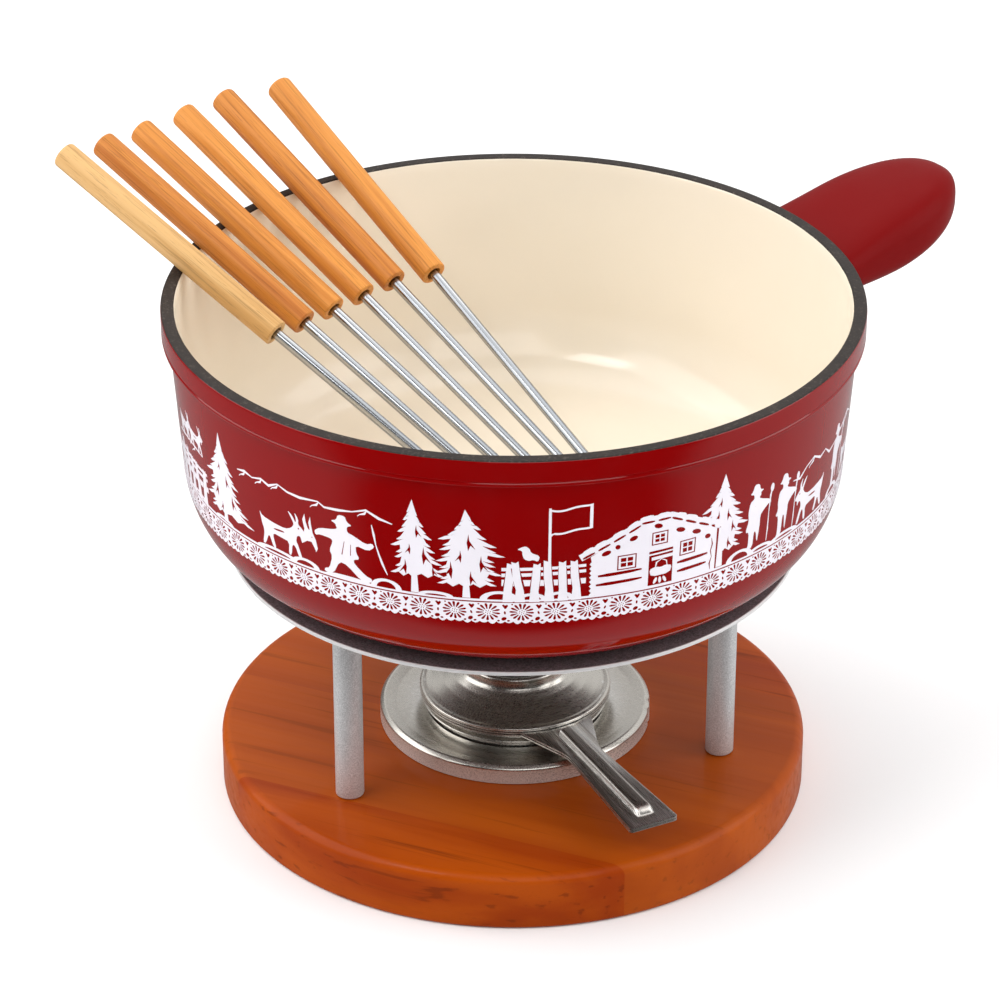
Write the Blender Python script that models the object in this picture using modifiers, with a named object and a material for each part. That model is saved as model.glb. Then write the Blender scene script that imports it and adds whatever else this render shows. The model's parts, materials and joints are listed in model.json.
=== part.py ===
"""Fondue set: a cast-iron pot with a bolted-on handle, six forks, a three-legged stand on a
round wooden base, and a stainless paste burner with a regulator that turns.

Frame: +Z up, metres, origin at the centre of the wooden base's underside, +X under the pot's
handle. Every radius below is measured from the axis of its own piece.
"""

import math

import bmesh
import bpy
from mathutils import Matrix, Vector

GAP = 0.0003  # between two pieces that touch

# Wooden base
BASE_R = 0.105
BASE_H = 0.021
BASE_TOP_ROUND = 0.0035
BASE_FOOT_ROUND = 0.0015

# Legs, and the screws at their two ends
LEG_NAMES = ("leg_front_left", "leg_front_right", "leg_rear")
LEG_FIRST_ANGLE = math.radians(-172.5)
LEG_CIRCLE_R = 0.0772
LEG_R = 0.005
SCREW_R = 0.0025
SCREW_HOLE_R = SCREW_R + GAP
SCREW_GRIP = 0.012  # how far a screw reaches into its leg
SCREW_SPARE = 0.002  # empty thread left beyond its tip
SCREW_CHAMFER = 0.0006
SCREW_CHAMFER_H = 0.0008
LEG_ROUND = 0.0004
SOCKET_R = 0.0023
SOCKET_H = 0.0024
SUNK_SOCKET_H = 0.0009
COUNTERBORE_R = 0.006
COUNTERBORE_H = 0.006
CAP_HEAD_R = 0.0045
CAP_HEAD_H = 0.004
SUNK_HEAD_R = 0.0048
SUNK_HEAD_H = 0.0012
SUNK_CLEARANCE = 0.0028
OVERCUT = 0.001  # how far a cutter stands past the face it opens
LONG_OVERCUT = 0.01

# Support ring
RING_R = 0.1004
RING_HOLE_R = 0.060
RING_TOP = 0.0996
RING_THICK = 0.0014
RING_UNDER = RING_TOP - RING_THICK
RING_EDGE = 0.0003

# Pot, measured up from its own underside
POT_Z = RING_TOP + GAP
POT_H = 0.0894
POT_FLOOR = 0.0061
RIM_R = 0.120
RIM_ROUND = 0.0008
RIM_MOUTH_R = 0.1158
BAND_R = 0.1205
BAND_UNDER = 0.0801
WALL_TOP_R = 0.118
CORNER_Z = 0.0341  # the wall starts to curve in below this height
CORNER_HIGH = 0.0325
CORNER_R = 0.088
CORNER_WIDE = 0.0268
INNER_CORNER_R = 0.084
INNER_CORNER_WIDE = 0.0265
FOOT_R = 0.0915
FOOT_H = 0.0031
FOOT_INNER_R = 0.0835  # inside the foot the underside is hollowed
HOLLOW_H = 0.0016

# Pot handle, along +X, measured from the pot's own underside
GRIP_ROOT = Vector((0.112, 0, 0.0695))
GRIP_LENGTH = 0.0804
GRIP_TILT = math.radians(4.8)
GRIP_LIFT = 0.0078  # how far the outer end curves up off the tilted line
GRIP_HALF_WIDTHS = (0.0269, 0.0247)
GRIP_HALF_THICKS = (0.0090, 0.0139)
GRIP_SWELL_TO = 0.58  # share of the length over which it grows to its full section
GRIP_ROUND_FROM = 0.48  # share of the length where the end starts to close
GRIP_ROUND_POWER = 2.33
GRIP_THIN_POWER = 0.7  # the thickness closes a little later than the width
GRIP_SECTION_POWER = 2.8
GRIP_ROOT_R = 0.1189  # the grip's inner end follows the pot's wall
BOSS_FROM = 0.1156
BOSS_TO = 0.129
BOSS_HALF = (0.014, 0.006)
POCKET_GAP = 0.0004
BOLT_R = 0.003
BOLT_HEAD_R = 0.0046
BOLT_HEAD_H = 0.005
BOLT_HEAD_ROUND = 0.0005
BOLT_SOCKET_H = 0.0028
BOLT_SEAT = 0.172
BOLT_TIP = 0.1195
BOLT_RECESS_R = 0.0056
WASHER_R = 0.0052
WASHER_H = 0.0014

# Forks: the angle where each crosses the rim, the compass heading of its tip and how far its
# handle reaches out past the rim
FORK_PLACES = (
    (134.6, -67.9, 0.0548),
    (124.9, -71.5, 0.0478),
    (115.7, -74.3, 0.0437),
    (106.2, -78.0, 0.0419),
    (97.5, -80.7, 0.0419),
    (87.6, -85.7, 0.0400),
)
FORK_LENGTH = 0.246
FORK_HANDLE = 0.101
FORK_HANDLE_R = 0.0048
FORK_END_ROUND = 0.0014
FORK_MOUTH_ROUND = 0.0006
FORK_MOUTH_R = 0.0024  # the drilled mouth that the rod stands in
FORK_MOUTH_H = 0.003
ROD_R = 0.0016
ROD_SUNK = 0.024
FORK_OVER_RIM = POT_H + 0.00665  # height of a fork's axis over the middle of the rim
FORK_TIP_Z = POT_FLOOR + 0.0039  # height of a fork's axis at its tip
FORK_CROSS_R = 0.118
TINE_HALF = 0.0038
TINE_WIDE = 0.0015
TINE_LONG = 0.024
TINE_NECK = 0.009
TINE_POINT = 0.004
TINE_THICK = 0.0014

# Burner. It stands loose on the base, a touch off its centre.
BURNER_AT = Vector((0.0018, 0.0012, 0))
TRAY_R = 0.0487
TRAY_HOLE_R = 0.0322
TRAY_FOOT = BASE_H + GAP
TRAY_TOP = 0.0282
TRAY_SHEET = 0.0008
CUP_R = 0.0315
CUP_BEAD_R = 0.0332
CUP_UNDER = BASE_H + 2 * GAP
CUP_TOP = 0.0316
CUP_SHEET = 0.0007
WOOL_R = 0.0296
WOOL_TOP = 0.0286
WOOL_ROUND = 0.001
GAUZE_R = 0.0302
GAUZE_THICK = 0.0005
PLATE_R = 0.0344
PLATE_SHEET = 0.0007
DAMPER_Z = CUP_TOP + GAP  # underside of the lower plate
REGULATOR_Z = DAMPER_Z + PLATE_SHEET + GAP  # underside of the upper plate
WINDOW_COUNT = 3
WINDOW_SPAN = math.radians(50)
WINDOW_R = (0.007, 0.0185)
LEVER_ANGLE = math.radians(-97.6)
LEVER_TIP = 0.1034
LEVER_TIP_HALF = 0.0094
LEVER_CORNER = 0.0015
LEVER_NECK = 0.0525
LEVER_NECK_HALF = 0.0062
LEVER_SHOULDER = 0.0468
LEVER_SHOULDER_HALF = 0.0082
LEVER_ROOT_SPREAD = math.radians(24)
RIB_FROM = 0.0395
RIB_TO = 0.0975
RIB_HALF = 0.0035
RIB_H = 0.0026
RIB_ROUND = 0.0011
RIB_END_WALL = 0.0016
RIVET_R = 0.002
RIVET_HEAD_R = 0.004
RIVET_HEAD_H = 0.001
BELL_FOOT = REGULATOR_Z + PLATE_SHEET + GAP
BELL_SHEET = 0.0007

MERGE = 0.00001
POT_STEPS = 48
WIDE_STEPS = 48
BURNER_STEPS = 32
SMALL_STEPS = 12
SMOOTH_ANGLE = math.radians(35)


def clear_scene():
    for obj in list(bpy.data.objects):
        bpy.data.objects.remove(obj, do_unlink=True)


def new_collection(name, hidden=False):
    collection = bpy.data.collections.new(name)
    bpy.context.scene.collection.children.link(collection)
    collection.hide_render = hidden
    return collection


def finish(name, colour, roughness, metallic=0.0):
    """A plain Principled material."""
    found = bpy.data.materials.get(name)
    if found:
        return found
    made = bpy.data.materials.new(name)
    made.use_nodes = True
    shader = made.node_tree.nodes["Principled BSDF"]
    shader.inputs["Base Color"].default_value = (*colour, 1)
    shader.inputs["Roughness"].default_value = roughness
    shader.inputs["Metallic"].default_value = metallic
    made.diffuse_color = (*colour, 1)
    return made


def place(name, data, look, parent=None, at=(0, 0, 0)):
    """A new object in the set's collection, with its own copy of the look."""
    obj = bpy.data.objects.new(name, data)
    PIECES.objects.link(obj)
    obj.location = at
    obj.parent = parent
    own = finish(f"{name}_{look[0]}", *look[1:])
    data.materials.append(own)
    return obj


def joint_empty(name, parent=None, matrix=None):
    """An empty on a joint's axis, which carries the pieces that move with it."""
    empty = bpy.data.objects.new(name, None)
    PIECES.objects.link(empty)
    empty.empty_display_size = 0.02
    empty.parent = parent
    empty.matrix_basis = matrix or Matrix.Identity(4)
    return empty


def smooth(mesh):
    mesh.shade_smooth()
    mesh.set_sharp_from_angle(angle=SMOOTH_ANGLE)


def profile_mesh(name, profile, closed):
    """Edges through (radius, height) points, for a Screw modifier to turn."""
    mesh = bpy.data.meshes.new(name)
    edges = [(i, i + 1) for i in range(len(profile) - 1)]
    if closed:
        edges.append((len(profile) - 1, 0))
    mesh.from_pydata([(r, 0, z) for r, z in profile], edges, [])
    return mesh


def add_turn(obj, steps):
    turn = obj.modifiers.new("Turn", "SCREW")
    turn.steps = steps
    turn.render_steps = steps
    turn.use_merge_vertices = True
    turn.merge_threshold = MERGE
    turn.use_smooth_shade = True


def turned(name, profile, look, steps, parent=None, at=(0, 0, 0), closed=False):
    """A solid of revolution about Z, from a profile that runs down its outer side."""
    obj = place(name, profile_mesh(name, profile, closed), look, parent, at)
    add_turn(obj, steps)
    return obj


def arc(centre_r, centre_z, wide, high, start, end, count):
    """(radius, height) points on an ellipse, from one angle in degrees to another."""
    points = []
    for i in range(count + 1):
        angle = math.radians(start + (end - start) * i / count)
        points.append((centre_r + wide * math.cos(angle), centre_z + high * math.sin(angle)))
    return points


def sheet_profile(outer, thickness):
    """The profile of a pressed sheet: its outer side, and the inner side at one thickness."""
    inner = []
    for i, (r, z) in enumerate(outer):
        before = Vector(outer[max(i - 1, 0)])
        after = Vector(outer[min(i + 1, len(outer) - 1)])
        here = Vector((r, z))
        first = (here - before).normalized() if i else (after - here).normalized()
        last = (after - here).normalized() if i < len(outer) - 1 else first
        side = (first + last).normalized()
        stretch = thickness / max(side.dot(first), 0.5)
        inner.append((max(r + side.y * stretch, 0), z - side.x * stretch))
    return inner[::-1] + outer


def cutter(name, mesh, parent=None, matrix=None):
    obj = bpy.data.objects.new(name, mesh)
    CUTTERS.objects.link(obj)
    obj.hide_render = True
    obj.display_type = "WIRE"
    obj.parent = parent
    obj.matrix_basis = matrix or Matrix.Identity(4)
    return obj


def boolean(obj, other, operation="DIFFERENCE"):
    change = obj.modifiers.new(other.name, "BOOLEAN")
    change.operation = operation
    change.solver = "EXACT"
    change.object = other


def rod_mesh(name, radius, bottom, top, sides, top_radius=None):
    """A cylinder or cone along Z between two heights."""
    shape = bmesh.new()
    bmesh.ops.create_cone(
        shape,
        cap_ends=True,
        segments=sides,
        radius1=radius,
        radius2=radius if top_radius is None else top_radius,
        depth=top - bottom,
        matrix=Matrix.Translation((0, 0, (top + bottom) / 2)),
    )
    mesh = bpy.data.meshes.new(name)
    shape.to_mesh(mesh)
    shape.free()
    return mesh


def box_mesh(name, low, high):
    shape = bmesh.new()
    low = Vector(low)
    high = Vector(high)
    size = Matrix.Diagonal((*(high - low), 1))
    bmesh.ops.create_cube(shape, size=1, matrix=Matrix.Translation((low + high) / 2) @ size)
    mesh = bpy.data.meshes.new(name)
    shape.to_mesh(mesh)
    shape.free()
    return mesh


def flat_curve(name, loops, thickness):
    """A 2D curve filled on both sides, with one closed spline for each loop of points."""
    curve = bpy.data.curves.new(name, "CURVE")
    curve.dimensions = "2D"
    curve.fill_mode = "BOTH"
    curve.extrude = thickness / 2
    for loop in loops:
        spline = curve.splines.new("POLY")
        spline.points.add(len(loop) - 1)
        for point, (x, y) in zip(spline.points, loop):
            point.co = (x, y, 0, 1)
        spline.use_cyclic_u = True
    return curve


def curve_to_mesh(name, curve):
    """The curve's evaluated mesh with its caps welded on."""
    holder = bpy.data.objects.new(name, curve)
    CUTTERS.objects.link(holder)
    graph = bpy.context.evaluated_depsgraph_get()
    mesh = bpy.data.meshes.new_from_object(holder.evaluated_get(graph))
    bpy.data.objects.remove(holder, do_unlink=True)
    shape = bmesh.new()
    shape.from_mesh(mesh)
    bmesh.ops.remove_doubles(shape, verts=shape.verts, dist=MERGE / 10)
    shape.to_mesh(mesh)
    shape.free()
    mesh.name = name
    return mesh


def around(radius, angle):
    return Vector((radius * math.cos(angle), radius * math.sin(angle), 0))


def wooden_base():
    profile = [(0, BASE_H)]
    profile += arc(
        BASE_R - BASE_TOP_ROUND, BASE_H - BASE_TOP_ROUND, BASE_TOP_ROUND, BASE_TOP_ROUND, 90, 0, 4
    )
    profile += arc(
        BASE_R - BASE_FOOT_ROUND, BASE_FOOT_ROUND, BASE_FOOT_ROUND, BASE_FOOT_ROUND, 0, -90, 2
    )
    profile.append((0, 0))
    base = turned("wood_base", profile, CHERRY, WIDE_STEPS)
    for i in range(len(LEG_NAMES)):
        here = Matrix.Translation(leg_at(i))
        bore = rod_mesh("base_bore", SCREW_HOLE_R, -LONG_OVERCUT, BASE_H + LONG_OVERCUT, SMALL_STEPS)
        recess = rod_mesh("base_recess", COUNTERBORE_R, -LONG_OVERCUT, COUNTERBORE_H, 16)
        boolean(base, cutter(f"base_bore_{i + 1}", bore, matrix=here))
        boolean(base, cutter(f"base_recess_{i + 1}", recess, matrix=here))


def leg_at(index):
    return around(LEG_CIRCLE_R, LEG_FIRST_ANGLE + index * math.tau / 3)


def legs():
    bottom = BASE_H + GAP
    top = RING_UNDER - GAP
    bore = SCREW_GRIP + SCREW_SPARE
    profile = [
        (0, top - bore),
        (SCREW_HOLE_R, top - bore),
        (SCREW_HOLE_R, top),
        (LEG_R - LEG_ROUND, top),
        (LEG_R, top - LEG_ROUND),
        (LEG_R, bottom + LEG_ROUND),
        (LEG_R - LEG_ROUND, bottom),
        (SCREW_HOLE_R, bottom),
        (SCREW_HOLE_R, bottom + bore),
        (0, bottom + bore),
    ]
    for i, name in enumerate(LEG_NAMES):
        turned(name, profile, LEG_PAINT, 20, at=leg_at(i))


def hex_socket(name, screw, bottom, top):
    """Cuts the key's hexagon into a screw's head."""
    mesh = rod_mesh(name, SOCKET_R, bottom, top, 6)
    boolean(screw, cutter(name, mesh, parent=screw))


def base_screws():
    head_top = COUNTERBORE_H - GAP
    head_bottom = head_top - CAP_HEAD_H
    tip = BASE_H + GAP + SCREW_GRIP
    profile = [
        (0, tip),
        (SCREW_R - SCREW_CHAMFER, tip),
        (SCREW_R, tip - SCREW_CHAMFER_H),
        (SCREW_R, head_top),
        (CAP_HEAD_R, head_top),
        (CAP_HEAD_R, head_bottom + LEG_ROUND),
        (CAP_HEAD_R - LEG_ROUND, head_bottom),
        (0, head_bottom),
    ]
    for i in range(len(LEG_NAMES)):
        screw = turned(f"base_screw_{i + 1}", profile, SCREW_ZINC, SMALL_STEPS, at=leg_at(i))
        hex_socket(f"base_socket_{i + 1}", screw, head_bottom - OVERCUT, head_bottom + SOCKET_H)


def ring_screws():
    head_top = RING_TOP - GAP / 2
    tip = RING_UNDER - GAP - SCREW_GRIP
    profile = [
        (0, head_top),
        (SUNK_HEAD_R, head_top),
        (SCREW_R, head_top - SUNK_HEAD_H),
        (SCREW_R, tip + SCREW_CHAMFER_H),
        (SCREW_R - SCREW_CHAMFER, tip),
        (0, tip),
    ]
    for i in range(len(LEG_NAMES)):
        screw = turned(f"ring_screw_{i + 1}", profile, SCREW_ZINC, SMALL_STEPS, at=leg_at(i))
        hex_socket(f"ring_socket_{i + 1}", screw, head_top - SUNK_SOCKET_H, head_top + OVERCUT)


def support_ring():
    profile = [
        (RING_HOLE_R, RING_TOP),
        (RING_R - RING_EDGE, RING_TOP),
        (RING_R, RING_TOP - RING_EDGE),
        (RING_R, RING_UNDER + RING_EDGE),
        (RING_R - RING_EDGE, RING_UNDER),
        (RING_HOLE_R, RING_UNDER),
    ]
    ring = turned("support_ring", profile, RING_STEEL, WIDE_STEPS, closed=True)
    for i in range(len(LEG_NAMES)):
        here = Matrix.Translation(leg_at(i))
        bore = rod_mesh(
            "ring_bore",
            SCREW_HOLE_R,
            RING_UNDER - LONG_OVERCUT,
            RING_TOP + LONG_OVERCUT,
            SMALL_STEPS,
        )
        sink = rod_mesh(
            "ring_sink",
            SCREW_R,
            RING_TOP - SUNK_HEAD_H - GAP,
            RING_TOP + OVERCUT,
            SMALL_STEPS,
            SUNK_HEAD_R + SUNK_CLEARANCE,
        )
        boolean(ring, cutter(f"ring_bore_{i + 1}", bore, matrix=here))
        boolean(ring, cutter(f"ring_sink_{i + 1}", sink, matrix=here))


def pot_profile():
    """From the middle of the pot's floor, up the inside, over the rim and down the outside."""
    inner_high = CORNER_Z - POT_FLOOR
    foot_angle = math.degrees(math.asin((FOOT_H - CORNER_Z) / CORNER_HIGH))
    points = [(0, POT_FLOOR)]
    points += arc(INNER_CORNER_R, CORNER_Z, INNER_CORNER_WIDE, inner_high, -90, 0, 6)
    points += [
        (RIM_MOUTH_R - 0.0002, POT_H - RIM_ROUND),
        (RIM_MOUTH_R + 0.0006, POT_H),
        (RIM_R - RIM_ROUND, POT_H),
        (RIM_R, POT_H - RIM_ROUND),
        (BAND_R, POT_H - 0.0018),
        (BAND_R, BAND_UNDER + 0.0005),
        (BAND_R - 0.0005, BAND_UNDER),
        (WALL_TOP_R, BAND_UNDER - 0.0006),
    ]
    points += arc(CORNER_R, CORNER_Z, CORNER_WIDE, CORNER_HIGH, 0, foot_angle, 7)
    points += [
        (FOOT_R, FOOT_H),
        (FOOT_R, 0.0003),
        (FOOT_R - 0.0003, 0),
        (FOOT_INNER_R, 0),
        (FOOT_INNER_R - 0.0005, HOLLOW_H),
        (0, HOLLOW_H),
    ]
    return points


def grip_line(share):
    """A point on the grip's curved middle line, at a share of its length."""
    x = GRIP_ROOT.x + GRIP_LENGTH * math.cos(GRIP_TILT) * share
    z = GRIP_ROOT.z + GRIP_LENGTH * math.sin(GRIP_TILT) * share + GRIP_LIFT * share**2
    return Vector((x, 0, z))


def bolt_matrix():
    """The bolt's frame: +Z runs along the chord of the grip, out from the pot's axis."""
    chord = (grip_line(1) - grip_line(0)).normalized()
    across = Vector((0, 1, 0))
    up = chord.cross(across)
    turn = Matrix((across, up, chord)).transposed().to_4x4()
    start = grip_line(0) - chord * (GRIP_ROOT.x / chord.x)
    return Matrix.Translation(start) @ turn


def along_bolt(x):
    """Distance along the bolt's line of a point x from the pot's axis."""
    chord = (grip_line(1) - grip_line(0)).normalized()
    return x / chord.x


def oval_mesh(name, halves, start, end):
    """A rod of oval section along Z."""
    mesh = rod_mesh(name, 1, start, end, 20)
    mesh.transform(Matrix.Diagonal((halves[0], halves[1], 1, 1)))
    return mesh


def pot_body(pot):
    body = turned("pot_body", pot_profile(), RED_ENAMEL, POT_STEPS, pot)
    line = bolt_matrix()
    boss = oval_mesh("pot_boss", BOSS_HALF, along_bolt(BOSS_FROM), along_bolt(BOSS_TO))
    bottom = along_bolt(BOLT_TIP - 0.0005)
    thread = rod_mesh(
        "boss_thread", BOLT_R + GAP, bottom, along_bolt(BOSS_TO + LONG_OVERCUT), SMALL_STEPS
    )
    boolean(body, cutter("pot_boss", boss, pot, line), "UNION")
    boolean(body, cutter("boss_thread", thread, pot, line))


def grip_section(share, count):
    """The grip's rounded-rectangle section at a share of its length."""
    ease = min(1, share / GRIP_SWELL_TO)
    ease = ease * ease * (3 - 2 * ease)
    closing = max(0, (share - GRIP_ROUND_FROM) / (1 - GRIP_ROUND_FROM))
    close = math.sqrt(max(0, 1 - closing**GRIP_ROUND_POWER))
    half_wide = (GRIP_HALF_WIDTHS[0] * (1 - ease) + GRIP_HALF_WIDTHS[1] * ease) * close
    half_thick = (GRIP_HALF_THICKS[0] * (1 - ease) + GRIP_HALF_THICKS[1] * ease) * close**GRIP_THIN_POWER
    middle = grip_line(share)
    points = []
    for i in range(count):
        angle = math.tau * i / count
        side = math.copysign(abs(math.cos(angle)) ** (2 / GRIP_SECTION_POWER), math.cos(angle))
        rise = math.copysign(abs(math.sin(angle)) ** (2 / GRIP_SECTION_POWER), math.sin(angle))
        points.append(middle + Vector((0, side * half_wide, rise * half_thick)))
    return points


def grip_mesh(stations, count):
    """A loft through the grip's sections, closed at both ends."""
    shape = bmesh.new()
    shares = [math.sin(math.pi / 2 * i / stations) for i in range(stations)]
    rings = [[shape.verts.new(p) for p in grip_section(share, count)] for share in shares]
    tip = shape.verts.new(grip_line(1))
    shape.faces.new(rings[0])
    for near, far in zip(rings, rings[1:]):
        for i in range(count):
            j = (i + 1) % count
            shape.faces.new((near[i], near[j], far[j], far[i]))
    for i in range(count):
        shape.faces.new((rings[-1][i], rings[-1][(i + 1) % count], tip))
    bmesh.ops.recalc_face_normals(shape, faces=shape.faces)
    mesh = bpy.data.meshes.new("pot_handle")
    shape.to_mesh(mesh)
    shape.free()
    smooth(mesh)
    return mesh


def pot_handle(pot):
    line = bolt_matrix()
    grip = place("pot_handle", grip_mesh(14, 20), GRIP_PAINT, pot)
    inner = along_bolt(GRIP_ROOT.x - LONG_OVERCUT)
    outer = along_bolt(GRIP_ROOT.x + GRIP_LENGTH + LONG_OVERCUT)
    seat = along_bolt(BOLT_SEAT)
    wall = rod_mesh("grip_wall", GRIP_ROOT_R, -LONG_OVERCUT, POT_H + 2 * LONG_OVERCUT, 96)
    pocket_halves = (BOSS_HALF[0] + POCKET_GAP, BOSS_HALF[1] + POCKET_GAP)
    pocket = oval_mesh("grip_pocket", pocket_halves, inner, along_bolt(BOSS_TO + POCKET_GAP))
    hole = rod_mesh("grip_hole", BOLT_R + POCKET_GAP, inner, seat + OVERCUT, SMALL_STEPS)
    recess = rod_mesh("grip_recess", BOLT_RECESS_R, seat, outer, 16)
    boolean(grip, cutter("grip_wall", wall, pot))
    boolean(grip, cutter("grip_pocket", pocket, pot, line))
    boolean(grip, cutter("grip_hole", hole, pot, line))
    boolean(grip, cutter("grip_recess", recess, pot, line))


def handle_bolt(pot):
    """The screw that draws the grip onto the pot's boss, and the washer under its head."""
    rest = joint_empty("handle_bolt_axis", pot, bolt_matrix())
    seat = along_bolt(BOLT_SEAT) + GAP
    head = seat + WASHER_H + GAP
    top = head + BOLT_HEAD_H
    tip = along_bolt(BOLT_TIP)
    hole_r = BOLT_R + GAP
    washer = [(hole_r, seat + WASHER_H), (WASHER_R, seat + WASHER_H), (WASHER_R, seat)]
    washer.append((hole_r, seat))
    turned("handle_washer", washer, SCREW_ZINC, 16, rest, closed=True)
    profile = [
        (0, top),
        (BOLT_HEAD_R - BOLT_HEAD_ROUND, top),
        (BOLT_HEAD_R, top - BOLT_HEAD_ROUND),
        (BOLT_HEAD_R, head),
        (BOLT_R, head),
        (BOLT_R, tip + SCREW_CHAMFER_H),
        (BOLT_R - SCREW_CHAMFER, tip),
        (0, tip),
    ]
    bolt = turned("handle_bolt", profile, SCREW_ZINC, SMALL_STEPS, rest)
    hex_socket("handle_socket", bolt, top - BOLT_SOCKET_H, top + OVERCUT)


def fork_matrix(rim_angle, heading, overhang):
    """A fork's frame where it crosses the rim: +Z up along it, +Y in the upright plane."""
    cross = around(FORK_CROSS_R, math.radians(rim_angle)) + Vector((0, 0, FORK_OVER_RIM))
    drop = FORK_OVER_RIM - FORK_TIP_Z
    pitch = math.asin(drop / (FORK_LENGTH - overhang))
    heading = math.radians(heading)
    down = Vector((math.cos(heading), math.sin(heading), 0)) * math.cos(pitch)
    down.z = -math.sin(pitch)
    side = Vector((-math.sin(heading), math.cos(heading), 0))
    turn = Matrix((side, (-down).cross(side), -down)).transposed().to_4x4()
    return Matrix.Translation(cross) @ turn


def tine_outline(tip):
    """Half of the three-tined head, from the neck at the rod to the middle tine's tip."""
    slot_end = tip + TINE_LONG
    neck = slot_end + TINE_NECK
    middle_half = TINE_WIDE / 2
    inner = TINE_HALF - TINE_WIDE
    return [
        (ROD_R * 0.7, neck),
        (TINE_HALF * 0.9, slot_end + 0.002),
        (TINE_HALF, slot_end - 0.001),
        (TINE_HALF, tip + TINE_POINT),
        (TINE_HALF - 0.0008, tip),
        (inner, tip + TINE_POINT),
        (inner, slot_end),
        (middle_half, slot_end),
        (middle_half, tip + TINE_POINT),
    ]


def fork(pot, number, rim_angle, heading, overhang, wood):
    frame = joint_empty(f"fork_{number}_axis", pot, fork_matrix(rim_angle, heading, overhang))
    mouth = overhang - FORK_HANDLE
    end = overhang
    tip = overhang - FORK_LENGTH
    sunk = mouth + ROD_SUNK
    bore_r = ROD_R + GAP
    handle = arc(0, end - FORK_END_ROUND, FORK_HANDLE_R, FORK_END_ROUND, 90, 0, 3)
    handle[0] = (0, end)
    handle += [
        (FORK_HANDLE_R, mouth + FORK_MOUTH_ROUND),
        (FORK_HANDLE_R - FORK_MOUTH_ROUND, mouth),
        (FORK_MOUTH_R, mouth),
        (FORK_MOUTH_R, mouth + FORK_MOUTH_H),
        (bore_r, mouth + FORK_MOUTH_H),
        (bore_r, sunk + GAP),
        (0, sunk + GAP),
    ]
    turned(f"fork_{number}_handle", handle, wood, 14, frame)
    half = tine_outline(tip)
    outline = half + [(0, tip)] + [(-x, y) for x, y in reversed(half)]
    curve = flat_curve(f"fork_{number}_head", [outline], TINE_THICK)
    head = curve_to_mesh(f"fork_{number}_head", curve)
    # The outline's own X and Y become the fork's Y and Z.
    head.transform(Matrix(((0, 0, 1, 0), (1, 0, 0, 0), (0, 1, 0, 0), (0, 0, 0, 1))))
    rod_end = tip + TINE_LONG + TINE_NECK * 0.6
    rod = rod_mesh(f"fork_{number}_shank", ROD_R, rod_end, sunk, 10)
    smooth(rod)
    shank = place(f"fork_{number}_shank", rod, ROD_STEEL, frame)
    boolean(shank, cutter(f"fork_{number}_head", head, frame), "UNION")


def burner_tray(tray):
    profile = [
        (TRAY_HOLE_R, TRAY_TOP - 0.0012),
        (TRAY_R - 0.0055, TRAY_TOP - 0.0009),
        (TRAY_R - 0.0024, TRAY_TOP),
        (TRAY_R - 0.0009, TRAY_TOP - 0.0003),
        (TRAY_R, TRAY_TOP - 0.0015),
        (TRAY_R, TRAY_FOOT),
    ]
    sheet = sheet_profile(profile, TRAY_SHEET)
    turned("burner_tray", sheet, STAINLESS, BURNER_STEPS, tray, closed=True)


def burner_cup(burner):
    bead_z = TRAY_TOP + 0.0002
    profile = [
        (CUP_R, CUP_TOP),
        (CUP_R, bead_z + 0.0014),
        (CUP_BEAD_R, bead_z + 0.0006),
        (CUP_BEAD_R, bead_z),
        (CUP_R, bead_z - 0.0006),
        (CUP_R, CUP_UNDER + 0.0012),
        (CUP_R - 0.0012, CUP_UNDER),
        (0, CUP_UNDER),
    ]
    turned("burner_cup", sheet_profile(profile, CUP_SHEET), STAINLESS, BURNER_STEPS, burner)
    wool_bottom = CUP_UNDER + CUP_SHEET + GAP
    wool = [
        (0, WOOL_TOP),
        (WOOL_R - WOOL_ROUND, WOOL_TOP),
        (WOOL_R, WOOL_TOP - WOOL_ROUND),
        (WOOL_R, wool_bottom + WOOL_ROUND),
        (WOOL_R - WOOL_ROUND, wool_bottom),
        (0, wool_bottom),
    ]
    turned("fuel_pad", wool, FUEL_WOOL, 24, burner)
    low = WOOL_TOP + GAP
    gauze = [(0, low + GAUZE_THICK), (GAUZE_R, low + GAUZE_THICK), (GAUZE_R, low), (0, low)]
    turned("gauze_disc", gauze, GAUZE, 24, burner)


def lever_outline():
    """The pressing that both plates share: a disc with one arm, which points along +X."""
    count = 40
    start = LEVER_ROOT_SPREAD
    disc = []
    for i in range(count + 1):
        angle = start + (math.tau - 2 * start) * i / count
        disc.append(around(PLATE_R, angle)[:2])
    arm = [
        (LEVER_SHOULDER, -LEVER_SHOULDER_HALF),
        (LEVER_NECK, -LEVER_NECK_HALF),
        (LEVER_TIP - LEVER_CORNER, -LEVER_TIP_HALF),
        (LEVER_TIP, -LEVER_TIP_HALF + LEVER_CORNER),
    ]
    return disc + arm + [(x, -y) for x, y in reversed(arm)]


def window_loops():
    """The sector windows that the fuel's vapour passes through, and the rivet's hole."""
    count = 8
    loops = []
    for k in range(WINDOW_COUNT):
        first = math.tau * k / WINDOW_COUNT - WINDOW_SPAN / 2
        angles = [first + WINDOW_SPAN * i / count for i in range(count + 1)]
        loop = [around(WINDOW_R[1], angle)[:2] for angle in angles]
        loop += [around(WINDOW_R[0], angle)[:2] for angle in reversed(angles)]
        loops.append(loop)
    hole = [around(RIVET_R + GAP, math.tau * i / SMALL_STEPS)[:2] for i in range(SMALL_STEPS)]
    return loops + [hole]


def pressed_plate(name, underside, parent):
    curve = flat_curve(name, [lever_outline()] + window_loops(), PLATE_SHEET)
    mesh = curve_to_mesh(name, curve)
    mesh.transform(Matrix.Translation((0, 0, underside + PLATE_SHEET / 2)))
    return place(name, mesh, STAINLESS, parent)


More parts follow.
